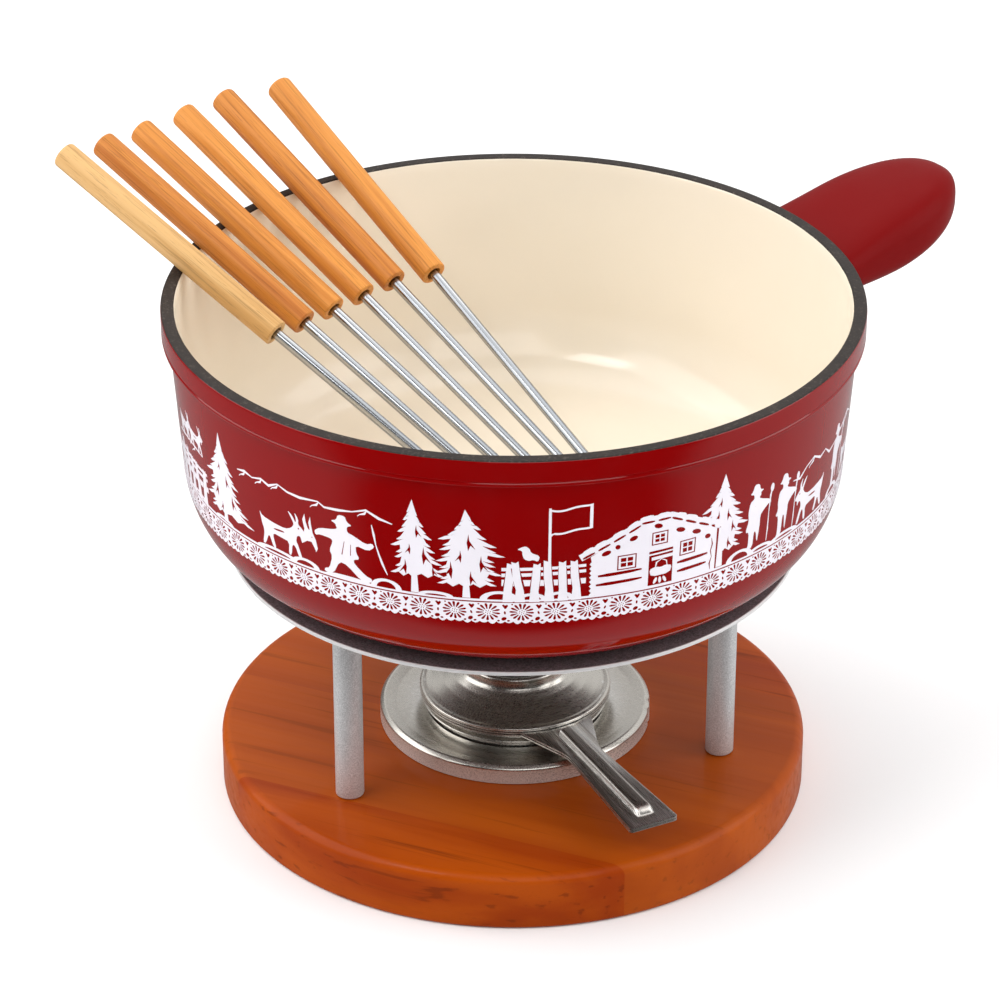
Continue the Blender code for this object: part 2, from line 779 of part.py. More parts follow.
def regulator_plate(regulator):
    """The upper plate, with a hollow rib pressed up along its arm and open at the inner end."""
    plate = pressed_plate("regulator_plate", REGULATOR_Z, regulator)
    top = REGULATOR_Z + PLATE_SHEET + RIB_H
    inside = RIB_HALF - PLATE_SHEET
    low = (RIB_FROM, -RIB_HALF, REGULATOR_Z + 0.0002)
    rib = cutter("lever_rib", box_mesh("lever_rib", low, (RIB_TO, RIB_HALF, top)), regulator)
    soften = rib.modifiers.new("Soften", "BEVEL")
    soften.width = RIB_ROUND
    soften.segments = 2
    soften.limit_method = "ANGLE"
    low = (RIB_FROM - 2 * OVERCUT, -inside, REGULATOR_Z - 2 * OVERCUT)
    high = (RIB_TO - RIB_END_WALL, inside, top - PLATE_SHEET)
    groove = cutter("lever_groove", box_mesh("lever_groove", low, high), regulator)
    boolean(plate, rib, "UNION")
    boolean(plate, groove)


def pivot_rivet(burner):
    under = DAMPER_Z - GAP
    over = BELL_FOOT
    profile = [
        (0, over + RIVET_HEAD_H),
        (RIVET_HEAD_R * 0.6, over + RIVET_HEAD_H),
        (RIVET_HEAD_R, over + RIVET_HEAD_H * 0.3),
        (RIVET_HEAD_R, over),
        (RIVET_R, over),
        (RIVET_R, under),
        (RIVET_HEAD_R, under),
        (RIVET_HEAD_R, under - RIVET_HEAD_H),
        (0, under - RIVET_HEAD_H),
    ]
    turned("pivot_rivet", profile, STAINLESS, SMALL_STEPS, burner)


def bell_cover(regulator):
    """The trumpet-shaped cover, from the lip of its flame opening out to its rolled rim."""
    profile = [
        (0.0171, 0.0456),
        (0.0180, 0.0464),
        (0.0191, 0.0461),
        (0.0196, 0.0450),
        (0.0191, 0.0438),
        (0.0190, 0.0428),
        (0.0200, 0.0414),
        (0.0224, 0.0397),
        (0.0260, 0.0378),
        (0.0302, 0.0363),
        (0.0332, 0.0357),
        (0.0343, 0.0350),
        (0.0343, BELL_FOOT),
    ]
    sheet = sheet_profile(profile, BELL_SHEET)
    turned("bell_cover", sheet, STAINLESS, BURNER_STEPS, regulator, closed=True)


def burner_set():
    tray = joint_empty("tray_axis", matrix=Matrix.Translation(BURNER_AT))
    burner = joint_empty("burner_axis", tray)
    regulator = joint_empty("regulator_axis", burner, Matrix.Rotation(LEVER_ANGLE, 4, "Z"))
    burner_tray(tray)
    burner_cup(burner)
    damper = pressed_plate("damper_plate", DAMPER_Z, burner)
    damper.rotation_euler.z = LEVER_ANGLE
    pivot_rivet(burner)
    regulator_plate(regulator)
    bell_cover(regulator)


# Looks: name, colour, roughness, metallic
CHERRY = ("cherry", (0.36, 0.11, 0.03), 0.3)
LEG_PAINT = ("silver_paint", (0.42, 0.42, 0.43), 0.45, 0.8)
RING_STEEL = ("ring_steel", (0.34, 0.33, 0.33), 0.45, 0.9)
SCREW_ZINC = ("zinc", (0.5, 0.5, 0.5), 0.4, 1.0)
RED_ENAMEL = ("red_enamel", (0.25, 0.002, 0.004), 0.08)
GRIP_PAINT = ("satin_red", (0.3, 0.012, 0.014), 0.35)
STAINLESS = ("stainless", (0.55, 0.53, 0.51), 0.3, 1.0)
FUEL_WOOL = ("wool", (0.75, 0.72, 0.66), 0.95)
GAUZE = ("gauze", (0.45, 0.45, 0.44), 0.5, 1.0)
ROD_STEEL = ("polished_steel", (0.65, 0.65, 0.66), 0.15, 1.0)
ASH = ("ash", (0.66, 0.42, 0.2), 0.55)
LIGHT_CHERRY = ("light_cherry", (0.6, 0.26, 0.08), 0.5)
DARK_CHERRY = ("dark_cherry", (0.5, 0.18, 0.05), 0.5)
FORK_WOODS = (ASH, DARK_CHERRY, LIGHT_CHERRY, LIGHT_CHERRY, DARK_CHERRY, LIGHT_CHERRY)

clear_scene()
PIECES = new_collection("fondue_set")
CUTTERS = new_collection("cutters", hidden=True)

wooden_base()
legs()
base_screws()
support_ring()
ring_screws()
burner_set()

pot_axis = joint_empty("pot_axis", matrix=Matrix.Translation((0, 0, POT_Z)))
pot_body(pot_axis)
pot_handle(pot_axis)
handle_bolt(pot_axis)
for index, (fork_place, fork_wood) in enumerate(zip(FORK_PLACES, FORK_WOODS)):
    fork(pot_axis, index + 1, *fork_place, fork_wood)
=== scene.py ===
"""Looks of the fondue set: an enamelled pot with a papercut frieze, six forks, a stand on a
cherry base and a stainless burner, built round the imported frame. Metres throughout; the
frieze alone is drawn flat in millimetres and then wrapped onto the pot's wall."""

import json
import math
import random

import bmesh
import bpy
from mathutils import Matrix, Vector, geometry, noise


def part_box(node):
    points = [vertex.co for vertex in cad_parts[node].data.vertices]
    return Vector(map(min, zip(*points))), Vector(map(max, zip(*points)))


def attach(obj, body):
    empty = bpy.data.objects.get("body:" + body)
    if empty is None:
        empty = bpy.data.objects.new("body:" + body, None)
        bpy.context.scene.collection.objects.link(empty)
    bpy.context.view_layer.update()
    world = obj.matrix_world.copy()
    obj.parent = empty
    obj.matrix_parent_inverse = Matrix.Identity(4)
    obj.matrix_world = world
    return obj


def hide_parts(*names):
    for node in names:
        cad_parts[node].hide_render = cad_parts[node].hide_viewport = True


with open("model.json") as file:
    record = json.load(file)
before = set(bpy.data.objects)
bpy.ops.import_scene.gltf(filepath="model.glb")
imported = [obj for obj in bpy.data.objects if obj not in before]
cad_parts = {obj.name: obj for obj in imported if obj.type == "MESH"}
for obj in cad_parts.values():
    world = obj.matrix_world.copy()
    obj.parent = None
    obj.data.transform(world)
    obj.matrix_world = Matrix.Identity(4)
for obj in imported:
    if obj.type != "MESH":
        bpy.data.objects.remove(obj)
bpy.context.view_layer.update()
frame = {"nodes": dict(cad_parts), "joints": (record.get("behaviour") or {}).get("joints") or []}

MM = 0.001
LEG_NAMES = ("leg_front_left", "leg_front_right", "leg_rear")

# Sizes read from the frame
BASE_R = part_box("wood_base")[1].x
BASE_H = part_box("wood_base")[1].z
RING_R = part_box("support_ring")[1].x
RING_UNDER, RING_TOP = (corner.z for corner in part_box("support_ring"))
POT_Z, POT_TOP = (corner.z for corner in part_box("pot_body"))
BAND_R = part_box("pot_body")[1].y
POT_H = POT_TOP - POT_Z
LEG_R = (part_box("leg_rear")[1].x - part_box("leg_rear")[0].x) / 2
TRAY_LOW, TRAY_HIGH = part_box("burner_tray")
BURNER_AT = (TRAY_LOW + TRAY_HIGH) / 2
TRAY_R = (TRAY_HIGH.x - TRAY_LOW.x) / 2
BELL_FOOT, BELL_TOP = (corner.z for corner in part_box("bell_cover"))
DAMPER_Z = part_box("damper_plate")[0].z
REGULATOR_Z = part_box("regulator_plate")[0].z

CUT_PAST = 0.01  # how far a cutter runs out past what it cuts
SHORT_PAST = 0.001  # the same at the end of a socket, a sink or a bore

# Stand
BASE_TOP_ROUND = 0.0036
BASE_FOOT_ROUND = 0.0016
LEG_THREAD_H = 0.014
SCREW_HOLE_R = 0.0028
COUNTERBORE_R = 0.006
COUNTERBORE_H = 0.006
RING_HOLE_R = 0.060
RING_EDGE = 0.0003
SINK_R = 0.0076
SINK_H = 0.0015

# Screws
SHANK_R = 0.0025
TIP_IN = 0.0006
TIP_H = 0.0008
SOCKET_R = 0.0023
CAP_HEAD_H = 0.004
CAP_SOCKET_H = 0.0024
CAP_DISH_R = 0.0026
CAP_DISH_H = 0.0001
SUNK_HEAD_H = 0.0012
SUNK_SOCKET_H = 0.0009

# Pot, heights from its own underside
FLOOR_H = 0.0061
RIM_R = BAND_R - 0.0005
MOUTH_R = 0.1158
BAND_UNDER = 0.0801
WALL_TOP_R = 0.118
CORNER_H = 0.0341
CORNER_HIGH = 0.0325
CORNER_R = 0.088
CORNER_WIDE = 0.0268
INNER_CORNER_R = 0.084
INNER_CORNER_WIDE = 0.0265
FOOT_R = 0.0915
FOOT_H = 0.0031
FOOT_INNER_R = 0.0835
HOLLOW_H = 0.0016
POT_STEPS = 384

# Pot handle
GRIP_ROOT = Vector((0.112, 0, 0.0695))
GRIP_LENGTH = 0.0804
GRIP_TILT = math.radians(4.8)
GRIP_LIFT = 0.0078
GRIP_HALF_WIDTHS = (0.0269, 0.0247)
GRIP_HALF_THICKS = (0.0090, 0.0139)
GRIP_SWELL_TO = 0.58
GRIP_ROUND_FROM = 0.48
GRIP_ROUND_POWER = 2.33
GRIP_THIN_POWER = 0.7
GRIP_SECTION_POWER = 2.8
GRIP_ROOT_R = 0.1189
BOSS_FROM = 0.1156
BOSS_TO = 0.129
BOSS_HALF = (0.014, 0.006)
POCKET_GAP = 0.0004
BOLT_SEAT = 0.172
BOLT_TIP = 0.1195
BOLT_R = 0.003
BOLT_RECESS_R = 0.0056
BOLT_HEAD_R = 0.0046
BOLT_HEAD_H = 0.005
BOLT_SOCKET_H = 0.0028
WASHER_R = 0.0052
WASHER_HOLE_R = 0.0033
WASHER_H = 0.0014
GRIP_CUT_FROM = 0.1
GRIP_CUT_TO = 0.21
THREAD_FROM = 0.119
THREAD_TO = 0.14

# Forks
FORK_HANDLE_R = 0.0048
ROD_R = 0.0019
FORK_MOUTH_R = 0.0026
FORK_MOUTH_H = 0.003
TINE_HALF = 0.0038
TINE_WIDE = 0.0015
TINE_LONG = 0.024
TINE_NECK = 0.009
TINE_POINT = 0.004
TINE_THICK = 0.0014
TINE_BEVEL = 0.00025

# Each wood's slot, light colour, dark colour and share of dark flecks
ASH = ("ash_wood", (0.68, 0.41, 0.165), (0.54, 0.295, 0.10), 0.6)
AMBER_CHERRY = ("dark_cherry", (0.60, 0.225, 0.036), (0.43, 0.13, 0.018), 0.45)
ORANGE_CHERRY = ("light_cherry", (0.70, 0.285, 0.052), (0.54, 0.19, 0.028), 0.35)
FORK_WOODS = (ASH, AMBER_CHERRY, ORANGE_CHERRY, ORANGE_CHERRY, AMBER_CHERRY, ORANGE_CHERRY)

# Burner
SHEET = 0.0007
TRAY_SHEET = 0.0008
TRAY_HOLE_R = 0.0322
TRAY_DENTS = (math.radians(-44), math.radians(-36))
TRAY_DENT_H = 0.0006
TRAY_DENT_SPREAD = 0.016
TRAY_DENT_BAND = 0.003
CUP_R = 0.0315
CUP_BEAD_R = 0.0332
WOOL_R = 0.0296
WOOL_ROUND = 0.0012
GAUZE_R = 0.0300
GAUZE_HEM = 0.0006
WIRE_R = 0.00012
WIRE_PITCH = 0.0013
PLATE_R = 0.0344
PLATE_BEVEL = 0.00012
LEVER_ANGLE = math.radians(-97.6)
LEVER_TIP = 0.1034
LEVER_TIP_HALF = 0.0094
LEVER_NECK = 0.0525
LEVER_NECK_HALF = 0.0062
LEVER_SHOULDER = 0.0468
LEVER_SHOULDER_HALF = 0.0082
LEVER_ROOT_SPREAD = math.radians(24)
RIB_FROM = 0.0395
RIB_TO = 0.0975
RIB_HALVES = (0.0030, 0.0035)
RIB_H = 0.0026
RIB_RAMP = 0.0042
GROOVE_FROM = 0.002  # how far the rib's hollow starts before it
GROOVE_TO = 0.0016  # and how far it ends before it
WINDOW_COUNT = 3
WINDOW_SPAN = math.radians(50)
WINDOW_R = (0.007, 0.0185)
WINDOW_ROUND = 0.0006
RIVET_R = 0.002
RIVET_HEAD_R = 0.004

# The bell from its flame opening to its rim: radius, drop below the top and rounding
BELL_LINE = (
    (0.0172, 0.0009, 0),
    (0.0180, 0, 0.0008),
    (0.0191, 0.0003, 0.0008),
    (0.0196, 0.0011, 0.0007),
    (0.0190, 0.0020, 0.0008),
    (0.0194, 0.0040, 0.003),
    (0.0203, 0.0052, 0.003),
    (0.0224, 0.0070, 0.005),
    (0.0260, 0.0091, 0.006),
    (0.0302, 0.0109, 0.006),
    (0.0321, 0.0115, 0.002),
    (0.0333, 0.0111, 0.0008),
    (0.0343, 0.0117, 0.0007),
)
BELL_RIM_R = 0.0343

# Frieze: lengths in millimetres along the wall, from the point that faces the camera
FRONT_ANGLE = math.radians(-124.7)
FRIEZE_R = 116.0  # the radius, in millimetres, at which the flat drawing keeps its width
LACE_TOP = 35.2  # height of the border's top line above the pot's underside
PRINT_PROUD = 0.00005
PRINT_DEEP = 0.00005
GRID = 3.0

# Camera
CAMERA_TARGET = Vector((-0.00469, 0.00324, 0.1096))
CAMERA_BACK = Vector((-0.49925, -0.72100, 0.48053)).normalized()
CAMERA_DISTANCE = 1.3977
CAMERA_LENS = 143.28
CAMERA_SHIFT = 0.003
SENSOR_WIDTH = 36

# Each softbox: its compass angle in degrees from the camera's side, reach, height, size, power
SOFTBOXES = {
    "softbox_left": (-84, 1.35, 0.95, (1.7, 1.7), 22),
    "softbox_right": (78, 1.6, 0.9, (1.5, 1.5), 14),
    "softbox_top": (190, 0.5, 1.7, (1.9, 1.5), 12),
    "softbox_front": (12, 1.4, 1.35, (1.3, 1.3), 11),
    "softbox_small": (-46, 0.95, 1.45, (0.5, 0.4), 4),
}
SOFTBOX_AIM_H = 0.09

# Brightness of the surroundings on each side of the set
WORLD_FRONT = 0.025
WORLD_LEFT = 0.09
WORLD_RIGHT = 0.78
WORLD_UNDER = 0.42
WORLD_BACK = 0.95

FLOOR_HALF = 6

# Sockets of a Mix node that mixes colours
MIX_FIRST, MIX_SECOND, MIX_RESULT = 6, 7, 2


# Camera, light and floor


def add_object(name, data):
    made = bpy.data.objects.new(name, data)
    bpy.context.scene.collection.objects.link(made)
    return made


def make_camera():
    data = bpy.data.cameras.new("camera")
    data.lens = CAMERA_LENS
    data.sensor_width = SENSOR_WIDTH
    data.shift_x = CAMERA_SHIFT
    camera = add_object("camera", data)
    camera.location = CAMERA_TARGET + CAMERA_BACK * CAMERA_DISTANCE
    camera.rotation_mode = "QUATERNION"
    camera.rotation_quaternion = (-CAMERA_BACK).to_track_quat("-Z", "Y")
    bpy.context.scene.camera = camera


def softbox(name, angle, reach, height, size, power):
    """An area light at a compass angle from the camera's side, aimed at the set."""
    data = bpy.data.lights.new(name, "AREA")
    data.shape = "RECTANGLE"
    data.size, data.size_y = size
    data.energy = power
    light = add_object(name, data)
    light.location = around(reach, FRONT_ANGLE + math.radians(angle), height)
    aim_at = Vector((0, 0, SOFTBOX_AIM_H)) - light.location
    light.rotation_mode = "QUATERNION"
    light.rotation_quaternion = aim_at.to_track_quat("-Z", "Y")


def studio():
    """The softboxes, and surroundings that are dark on the camera's side."""
    for name, settings in SOFTBOXES.items():
        softbox(name, *settings)
    world = bpy.data.worlds.new("studio")
    world.use_nodes = True
    bpy.context.scene.world = world
    nodes = world.node_tree.nodes
    link = world.node_tree.links.new
    direction = nodes.new("ShaderNodeTexCoord").outputs["Generated"]

    def toward(way):
        """The cosine of the angle between a direction and a way, from which the ramps work."""
        share = nodes.new("ShaderNodeVectorMath")
        share.operation = "DOT_PRODUCT"
        share.inputs[1].default_value = way
        link(direction, share.inputs[0])
        return share.outputs["Value"]

    def ramp(value, low, high, to_low, to_high):
        """A smooth change from one level to another, each a number or a socket."""
        made = nodes.new("ShaderNodeMapRange")
        made.interpolation_type = "SMOOTHSTEP"
        link(value, made.inputs["Value"])
        made.inputs["From Min"].default_value = low
        made.inputs["From Max"].default_value = high
        for name, level in (("To Min", to_low), ("To Max", to_high)):
            if isinstance(level, bpy.types.NodeSocket):
                link(level, made.inputs[name])
            else:
                made.inputs[name].default_value = level
        return made.outputs["Result"]

    front = toward(around(1, FRONT_ANGLE))
    right = toward(around(1, FRONT_ANGLE + math.pi / 2))
    above = toward(Vector((0, 0, 1)))
    sides = ramp(right, -0.7, 0.7, WORLD_LEFT, WORLD_RIGHT)
    sides = ramp(above, -0.7, 0.0, WORLD_UNDER, sides)
    back = ramp(above, 0.05, 0.5, sides, WORLD_BACK)
    behind = ramp(front, -0.5, 0.1, back, sides)
    level = ramp(front, 0.28, 0.55, behind, WORLD_FRONT)
    link(level, nodes["Background"].inputs["Color"])
    scene = bpy.context.scene
    scene.view_settings.view_transform = "Standard"
    scene.view_settings.look = "None"


def make_floor():
    shape = bmesh.new()
    bmesh.ops.create_grid(shape, x_segments=1, y_segments=1, size=FLOOR_HALF)
    mesh = mesh_from(shape, "floor")
    floor = add_object("floor", mesh)
    floor.visible_glossy = False
    look = Look("floor_paper", roughness=0.9)
    look.colour(look.mix(look.noise(look.place, 3, 3), (0.90, 0.90, 0.90), (0.93, 0.93, 0.93)))
    mesh.materials.append(look.material)


# Materials


class Look:
    """A Principled material and short ways to add nodes to it. Every pattern is procedural."""

    def __init__(self, name, roughness=0.5, metallic=0.0, coat=0.0, specular=0.5):
        self.material = bpy.data.materials.new(name)
        self.material.use_nodes = True
        self.tree = self.material.node_tree
        self.shader = self.tree.nodes["Principled BSDF"]
        self.shader.inputs["Roughness"].default_value = roughness
        self.shader.inputs["Metallic"].default_value = metallic
        self.shader.inputs["Coat Weight"].default_value = coat
        self.shader.inputs["Coat Roughness"].default_value = 0.06
        self.shader.inputs["Specular IOR Level"].default_value = specular
        self.place = self.node("TexCoord").outputs["Object"]

    def node(self, kind, **settings):
        made = self.tree.nodes.new("ShaderNode" + kind)
        for key, value in settings.items():
            setattr(made, key, value)
        return made

    def put(self, value, socket):
        if isinstance(value, bpy.types.NodeSocket):
            self.tree.links.new(value, socket)
        elif socket.type == "RGBA" and len(value) == 3:
            socket.default_value = (*value, 1)
        else:
            socket.default_value = value

    def mapped(self, scale, turn=(0, 0, 0), shift=(0, 0, 0), source=None):
        made = self.node("Mapping")
        self.put(source or self.place, made.inputs["Vector"])
        made.inputs["Scale"].default_value = scale
        made.inputs["Rotation"].default_value = turn
        made.inputs["Location"].default_value = shift
        return made.outputs["Vector"]

    def noise(self, vector, scale, detail=4.0, roughness=0.5, distortion=0.0):
        made = self.node("TexNoise")
        self.put(vector, made.inputs["Vector"])
        made.inputs["Scale"].default_value = scale
        made.inputs["Detail"].default_value = detail
        made.inputs["Roughness"].default_value = roughness
        made.inputs["Distortion"].default_value = distortion
        return made.outputs["Fac"]

    def cells(self, vector, scale):
        made = self.node("TexVoronoi")
        self.put(vector, made.inputs["Vector"])
        made.inputs["Scale"].default_value = scale
        return made.outputs["Distance"]

    def span(self, value, low, high, to_low=0.0, to_high=1.0):
        """A smooth change from one level to another as the value goes from low to high."""
        made = self.node("MapRange", interpolation_type="SMOOTHSTEP")
        names = ("Value", "From Min", "From Max", "To Min", "To Max")
        for name, level in zip(names, (value, low, high, to_low, to_high)):
            self.put(level, made.inputs[name])
        return made.outputs["Result"]

    def maths(self, operation, first, second=0.0):
        made = self.node("Math", operation=operation)
        self.put(first, made.inputs[0])
        self.put(second, made.inputs[1])
        return made.outputs["Value"]

    def mix(self, share, first, second):
        made = self.node("Mix", data_type="RGBA", blend_type="MIX")
        self.put(share, made.inputs["Factor"])
        self.put(first, made.inputs[MIX_FIRST])
        self.put(second, made.inputs[MIX_SECOND])
        return made.outputs[MIX_RESULT]

    def apart(self, vector):
        made = self.node("SeparateXYZ")
        self.put(vector, made.inputs["Vector"])
        return made.outputs

    def bump(self, height, distance, strength):
        made = self.node("Bump")
        made.inputs["Strength"].default_value = strength
        made.inputs["Distance"].default_value = distance
        self.put(height, made.inputs["Height"])
        self.put(made.outputs["Normal"], self.shader.inputs["Normal"])

    def colour(self, value):
        self.put(value, self.shader.inputs["Base Color"])

    def roughness(self, value):
        self.put(value, self.shader.inputs["Roughness"])

    def edges(self):
        """How convex the surface is, for painted highlights along edges."""
        return self.node("NewGeometry").outputs["Pointiness"]


def red_enamel():
    look = Look("red_enamel", roughness=0.10, specular=0.45)
    drift = look.noise(look.place, 14, 3)
    colour = look.mix(drift, (0.208, 0.0002, 0.0005), (0.236, 0.0004, 0.0008))
    # Convex edges are painted a lighter red: a painted highlight along the enamel's edges.
    painted_edge_highlight = look.span(look.edges(), 0.52, 0.60)
    look.colour(look.mix(look.maths("MULTIPLY", painted_edge_highlight, 0.45), colour, (0.33, 0.03, 0.02)))
    orange_peel = look.noise(look.place, 260, 3, 0.45)
    look.bump(look.maths("ADD", orange_peel, look.noise(look.place, 42, 2)), 0.00002, 0.3)
    look.roughness(look.span(look.noise(look.place, 90, 4), 0.3, 0.8, 0.06, 0.11))
    return look.material


def cream_enamel():
    look = Look("cream_enamel", roughness=0.12)
    drift = look.noise(look.place, 20, 4)
    colour = look.mix(drift, (0.825, 0.745, 0.61), (0.865, 0.79, 0.675))
    specks = look.span(look.cells(look.place, 420), 0.0, 0.055, 1.0, 0.0)
    chance = look.span(look.noise(look.place, 55, 2), 0.60, 0.66)
    speckled = look.maths("MULTIPLY", look.maths("MULTIPLY", specks, chance), 0.35)
    look.colour(look.mix(speckled, colour, (0.35, 0.25, 0.15)))
    look.bump(look.noise(look.place, 210, 3, 0.45), 0.00003, 0.5)
    look.roughness(look.span(look.noise(look.place, 80, 4), 0.3, 0.8, 0.10, 0.2))
    return look.material


def bare_rim():
    look = Look("rim_iron", roughness=0.5, specular=0.2)
    grain = look.noise(look.place, 900, 5, 0.6)
    patches = look.noise(look.place, 110, 4)
    colour = look.mix(patches, (0.010, 0.0075, 0.0065), (0.030, 0.022, 0.018))
    look.colour(look.mix(look.span(grain, 0.5, 0.75), colour, (0.085, 0.07, 0.06)))
    look.roughness(look.span(grain, 0.3, 0.7, 0.42, 0.62))
    look.bump(look.maths("ADD", grain, patches), 0.00012, 0.6)
    return look.material


def ground_enamel():
    """The dark matt first coat, left as the finish under the pot."""
    look = Look("ground_enamel", roughness=0.55, specular=0.3)
    cloud = look.noise(look.place, 60, 5, 0.6)
    grain = look.noise(look.place, 1400, 3, 0.6)
    colour = look.mix(look.span(cloud, 0.3, 0.7), (0.055, 0.046, 0.040), (0.10, 0.086, 0.075))
    look.colour(look.mix(look.span(grain, 0.62, 0.75), colour, (0.16, 0.14, 0.125)))
    look.roughness(look.span(cloud, 0.3, 0.7, 0.45, 0.65))
    look.bump(look.maths("ADD", grain, cloud), 0.00006, 0.4)
    return look.material


def print_white():
    look = Look("print_white", roughness=0.14)
    drift = look.noise(look.place, 60, 5, 0.6)
    colour = look.mix(drift, (0.78, 0.745, 0.81), (0.87, 0.84, 0.90))
    pin_holes = look.span(look.noise(look.place, 2600, 2), 0.70, 0.76)
    look.colour(look.mix(look.maths("MULTIPLY", pin_holes, 0.4), colour, (0.50, 0.25, 0.28)))
    look.bump(look.noise(look.place, 700, 3), 0.00002, 0.5)
    look.roughness(look.span(look.noise(look.place, 300, 3), 0.3, 0.7, 0.10, 0.2))
    return look.material


def satin_red():
    look = Look("satin_red", roughness=0.4, specular=0.04)
    drift = look.noise(look.place, 22, 4)
    look.colour(look.mix(drift, (0.165, 0.0034, 0.0038), (0.195, 0.0055, 0.0058)))
    pebble = look.noise(look.place, 1500, 4, 0.6)
    look.bump(pebble, 0.00003, 0.4)
    marks = look.noise(look.place, 60, 5, 0.65)
    look.roughness(look.span(marks, 0.35, 0.75, 0.32, 0.44))
    return look.material


def lacquered_cherry():
    """Glued staves, each with its own tint, smooth in colour with fine dark streaks, and a painted
    highlight along the rounded edges.
    """
    look = Look("lacquered_cherry", roughness=0.42, coat=0.09, specular=0.08)
    turn = (0, 0, math.radians(58))
    plain = look.mapped((1, 1, 1), turn)
    across = look.apart(plain)["Y"]
    staves = look.maths("FLOOR", look.maths("MULTIPLY", look.maths("ADD", across, 0.2), 16.0))
    seed = look.node("TexWhiteNoise", noise_dimensions="1D")
    look.put(staves, seed.inputs["W"])
    jump = look.node("VectorMath", operation="ADD")
    look.put(plain, jump.inputs[0])
    look.put(seed.outputs["Color"], jump.inputs[1])
    own = jump.outputs["Vector"]
    rings = look.noise(look.mapped((6, 48, 48), source=own), 1.0, 4, 0.5, 0.5)
    streaks = look.noise(look.mapped((9, 330, 330), source=own), 1.0, 3, 0.5, 0.2)
    fibres = look.noise(look.mapped((60, 2200, 2200), source=own), 1.0, 3, 0.6)
    colour = look.mix(look.span(rings, 0.30, 0.70), (0.42, 0.067, 0.0014), (0.30, 0.035, 0.0006))
    colour = look.mix(look.span(streaks, 0.60, 0.70, 0.0, 0.5), colour, (0.12, 0.016, 0.0006))
    colour = look.mix(look.span(fibres, 0.55, 0.8, 0.0, 0.30), colour, (0.17, 0.026, 0.002))
    tint = look.span(seed.outputs["Value"], 0, 1, 0.0, 0.32)
    colour = look.mix(tint, colour, (0.44, 0.10, 0.008))
    # Convex edges are painted a lighter orange: a painted highlight along the rounded edges.
    look.colour(look.mix(look.span(look.edges(), 0.51, 0.58, 0.0, 0.4), colour, (0.46, 0.11, 0.01)))
    look.roughness(look.span(streaks, 0.3, 0.7, 0.36, 0.48))
    look.bump(look.maths("ADD", streaks, look.maths("MULTIPLY", fibres, 0.6)), 0.00004, 0.3)
    return look.material


def fork_wood(name, light, dark, seed, flecks):
    """Turned wood with grain along the fork, read in the fork's own frame."""
    look = Look(name, roughness=0.48, specular=0.3)
    grain = look.noise(look.mapped((330, 330, 9), shift=(seed, 0, 0)), 1.0, 4, 0.6, 0.35)
    fine = look.noise(look.mapped((1200, 1200, 26), shift=(0, seed, 0)), 1.0, 3, 0.6)
    pores = look.noise(look.mapped((2600, 2600, 110), shift=(0, 0, seed)), 1.0, 2, 0.5)
    colour = look.mix(look.span(grain, 0.33, 0.68), light, dark)
    deeper = tuple(channel * 0.55 for channel in dark)
    colour = look.mix(look.span(fine, 0.52, 0.70, 0.0, 0.6), colour, deeper)
    colour = look.mix(look.span(pores, 0.60, 0.70, 0.0, flecks), colour, deeper)
    look.colour(colour)
    look.roughness(look.span(fine, 0.3, 0.7, 0.40, 0.58))
    look.bump(look.maths("ADD", fine, pores), 0.00004, 0.4)
    return look.material


def hammered_silver():
    look = Look("hammered_silver", roughness=0.4, metallic=0.4)
    flakes = look.noise(look.place, 2300, 3, 0.7)
    cloud = look.noise(look.place, 420, 3)
    colour = look.mix(look.span(flakes, 0.36, 0.66), (0.47, 0.475, 0.48), (0.76, 0.765, 0.77))
    look.colour(look.mix(look.span(cloud, 0.35, 0.7, 0.0, 0.4), colour, (0.58, 0.585, 0.59)))
    look.roughness(look.span(flakes, 0.3, 0.7, 0.30, 0.5))
    look.bump(look.maths("ADD", flakes, look.cells(look.place, 900)), 0.00008, 0.45)
    return look.material


def ring_steel():
    look = Look("ring_steel", roughness=0.45, metallic=0.4, specular=0.3)
    grain = look.noise(look.place, 1500, 4, 0.7)
    cloud = look.noise(look.place, 130, 4)
    # The top's dark colours are painted shade from the pot above; the plate itself is silver.
    colour = look.mix(look.span(grain, 0.35, 0.65), (0.125, 0.104, 0.110), (0.30, 0.265, 0.28))
    colour = look.mix(look.span(cloud, 0.4, 0.7, 0.0, 0.3), colour, (0.21, 0.185, 0.19))
    # The outer edge is painted bright: a painted highlight where the edge catches the light.
    out = look.node("VectorMath", operation="LENGTH")
    look.put(look.mapped((1, 1, 0)), out.inputs[0])
    painted_lit_edge = look.span(out.outputs["Value"], RING_R - 0.0007, RING_R - 0.0003)
    look.colour(look.mix(painted_lit_edge, colour, (0.80, 0.79, 0.79)))
    look.roughness(look.span(grain, 0.3, 0.7, 0.36, 0.55))
    look.bump(grain, 0.00005, 0.4)
    return look.material


def brushed_steel(name, turn, tone=(0.62, 0.59, 0.54), metallic=1.0):
    """Stainless sheet with fine hairlines along one direction and a painted edge highlight."""
    look = Look(name, roughness=0.3, metallic=metallic)
    own = look.mapped((1, 1, 1), (0, 0, turn))
    hair = look.noise(look.mapped((40, 4200, 4200), source=own), 1.0, 3, 0.6)
    dark = tuple(channel * 0.9 for channel in tone)
    colour = look.mix(look.span(hair, 0.35, 0.68), dark, tone)
    # Convex edges are painted lighter: a painted highlight along the edges.
    painted_lit_edge = look.span(look.edges(), 0.52, 0.60, 0.0, 0.6)
    look.colour(look.mix(painted_lit_edge, colour, (0.86, 0.85, 0.83)))
    look.roughness(look.span(hair, 0.3, 0.7, 0.24, 0.34))
    look.bump(hair, 0.00001, 0.06)
    return look.material


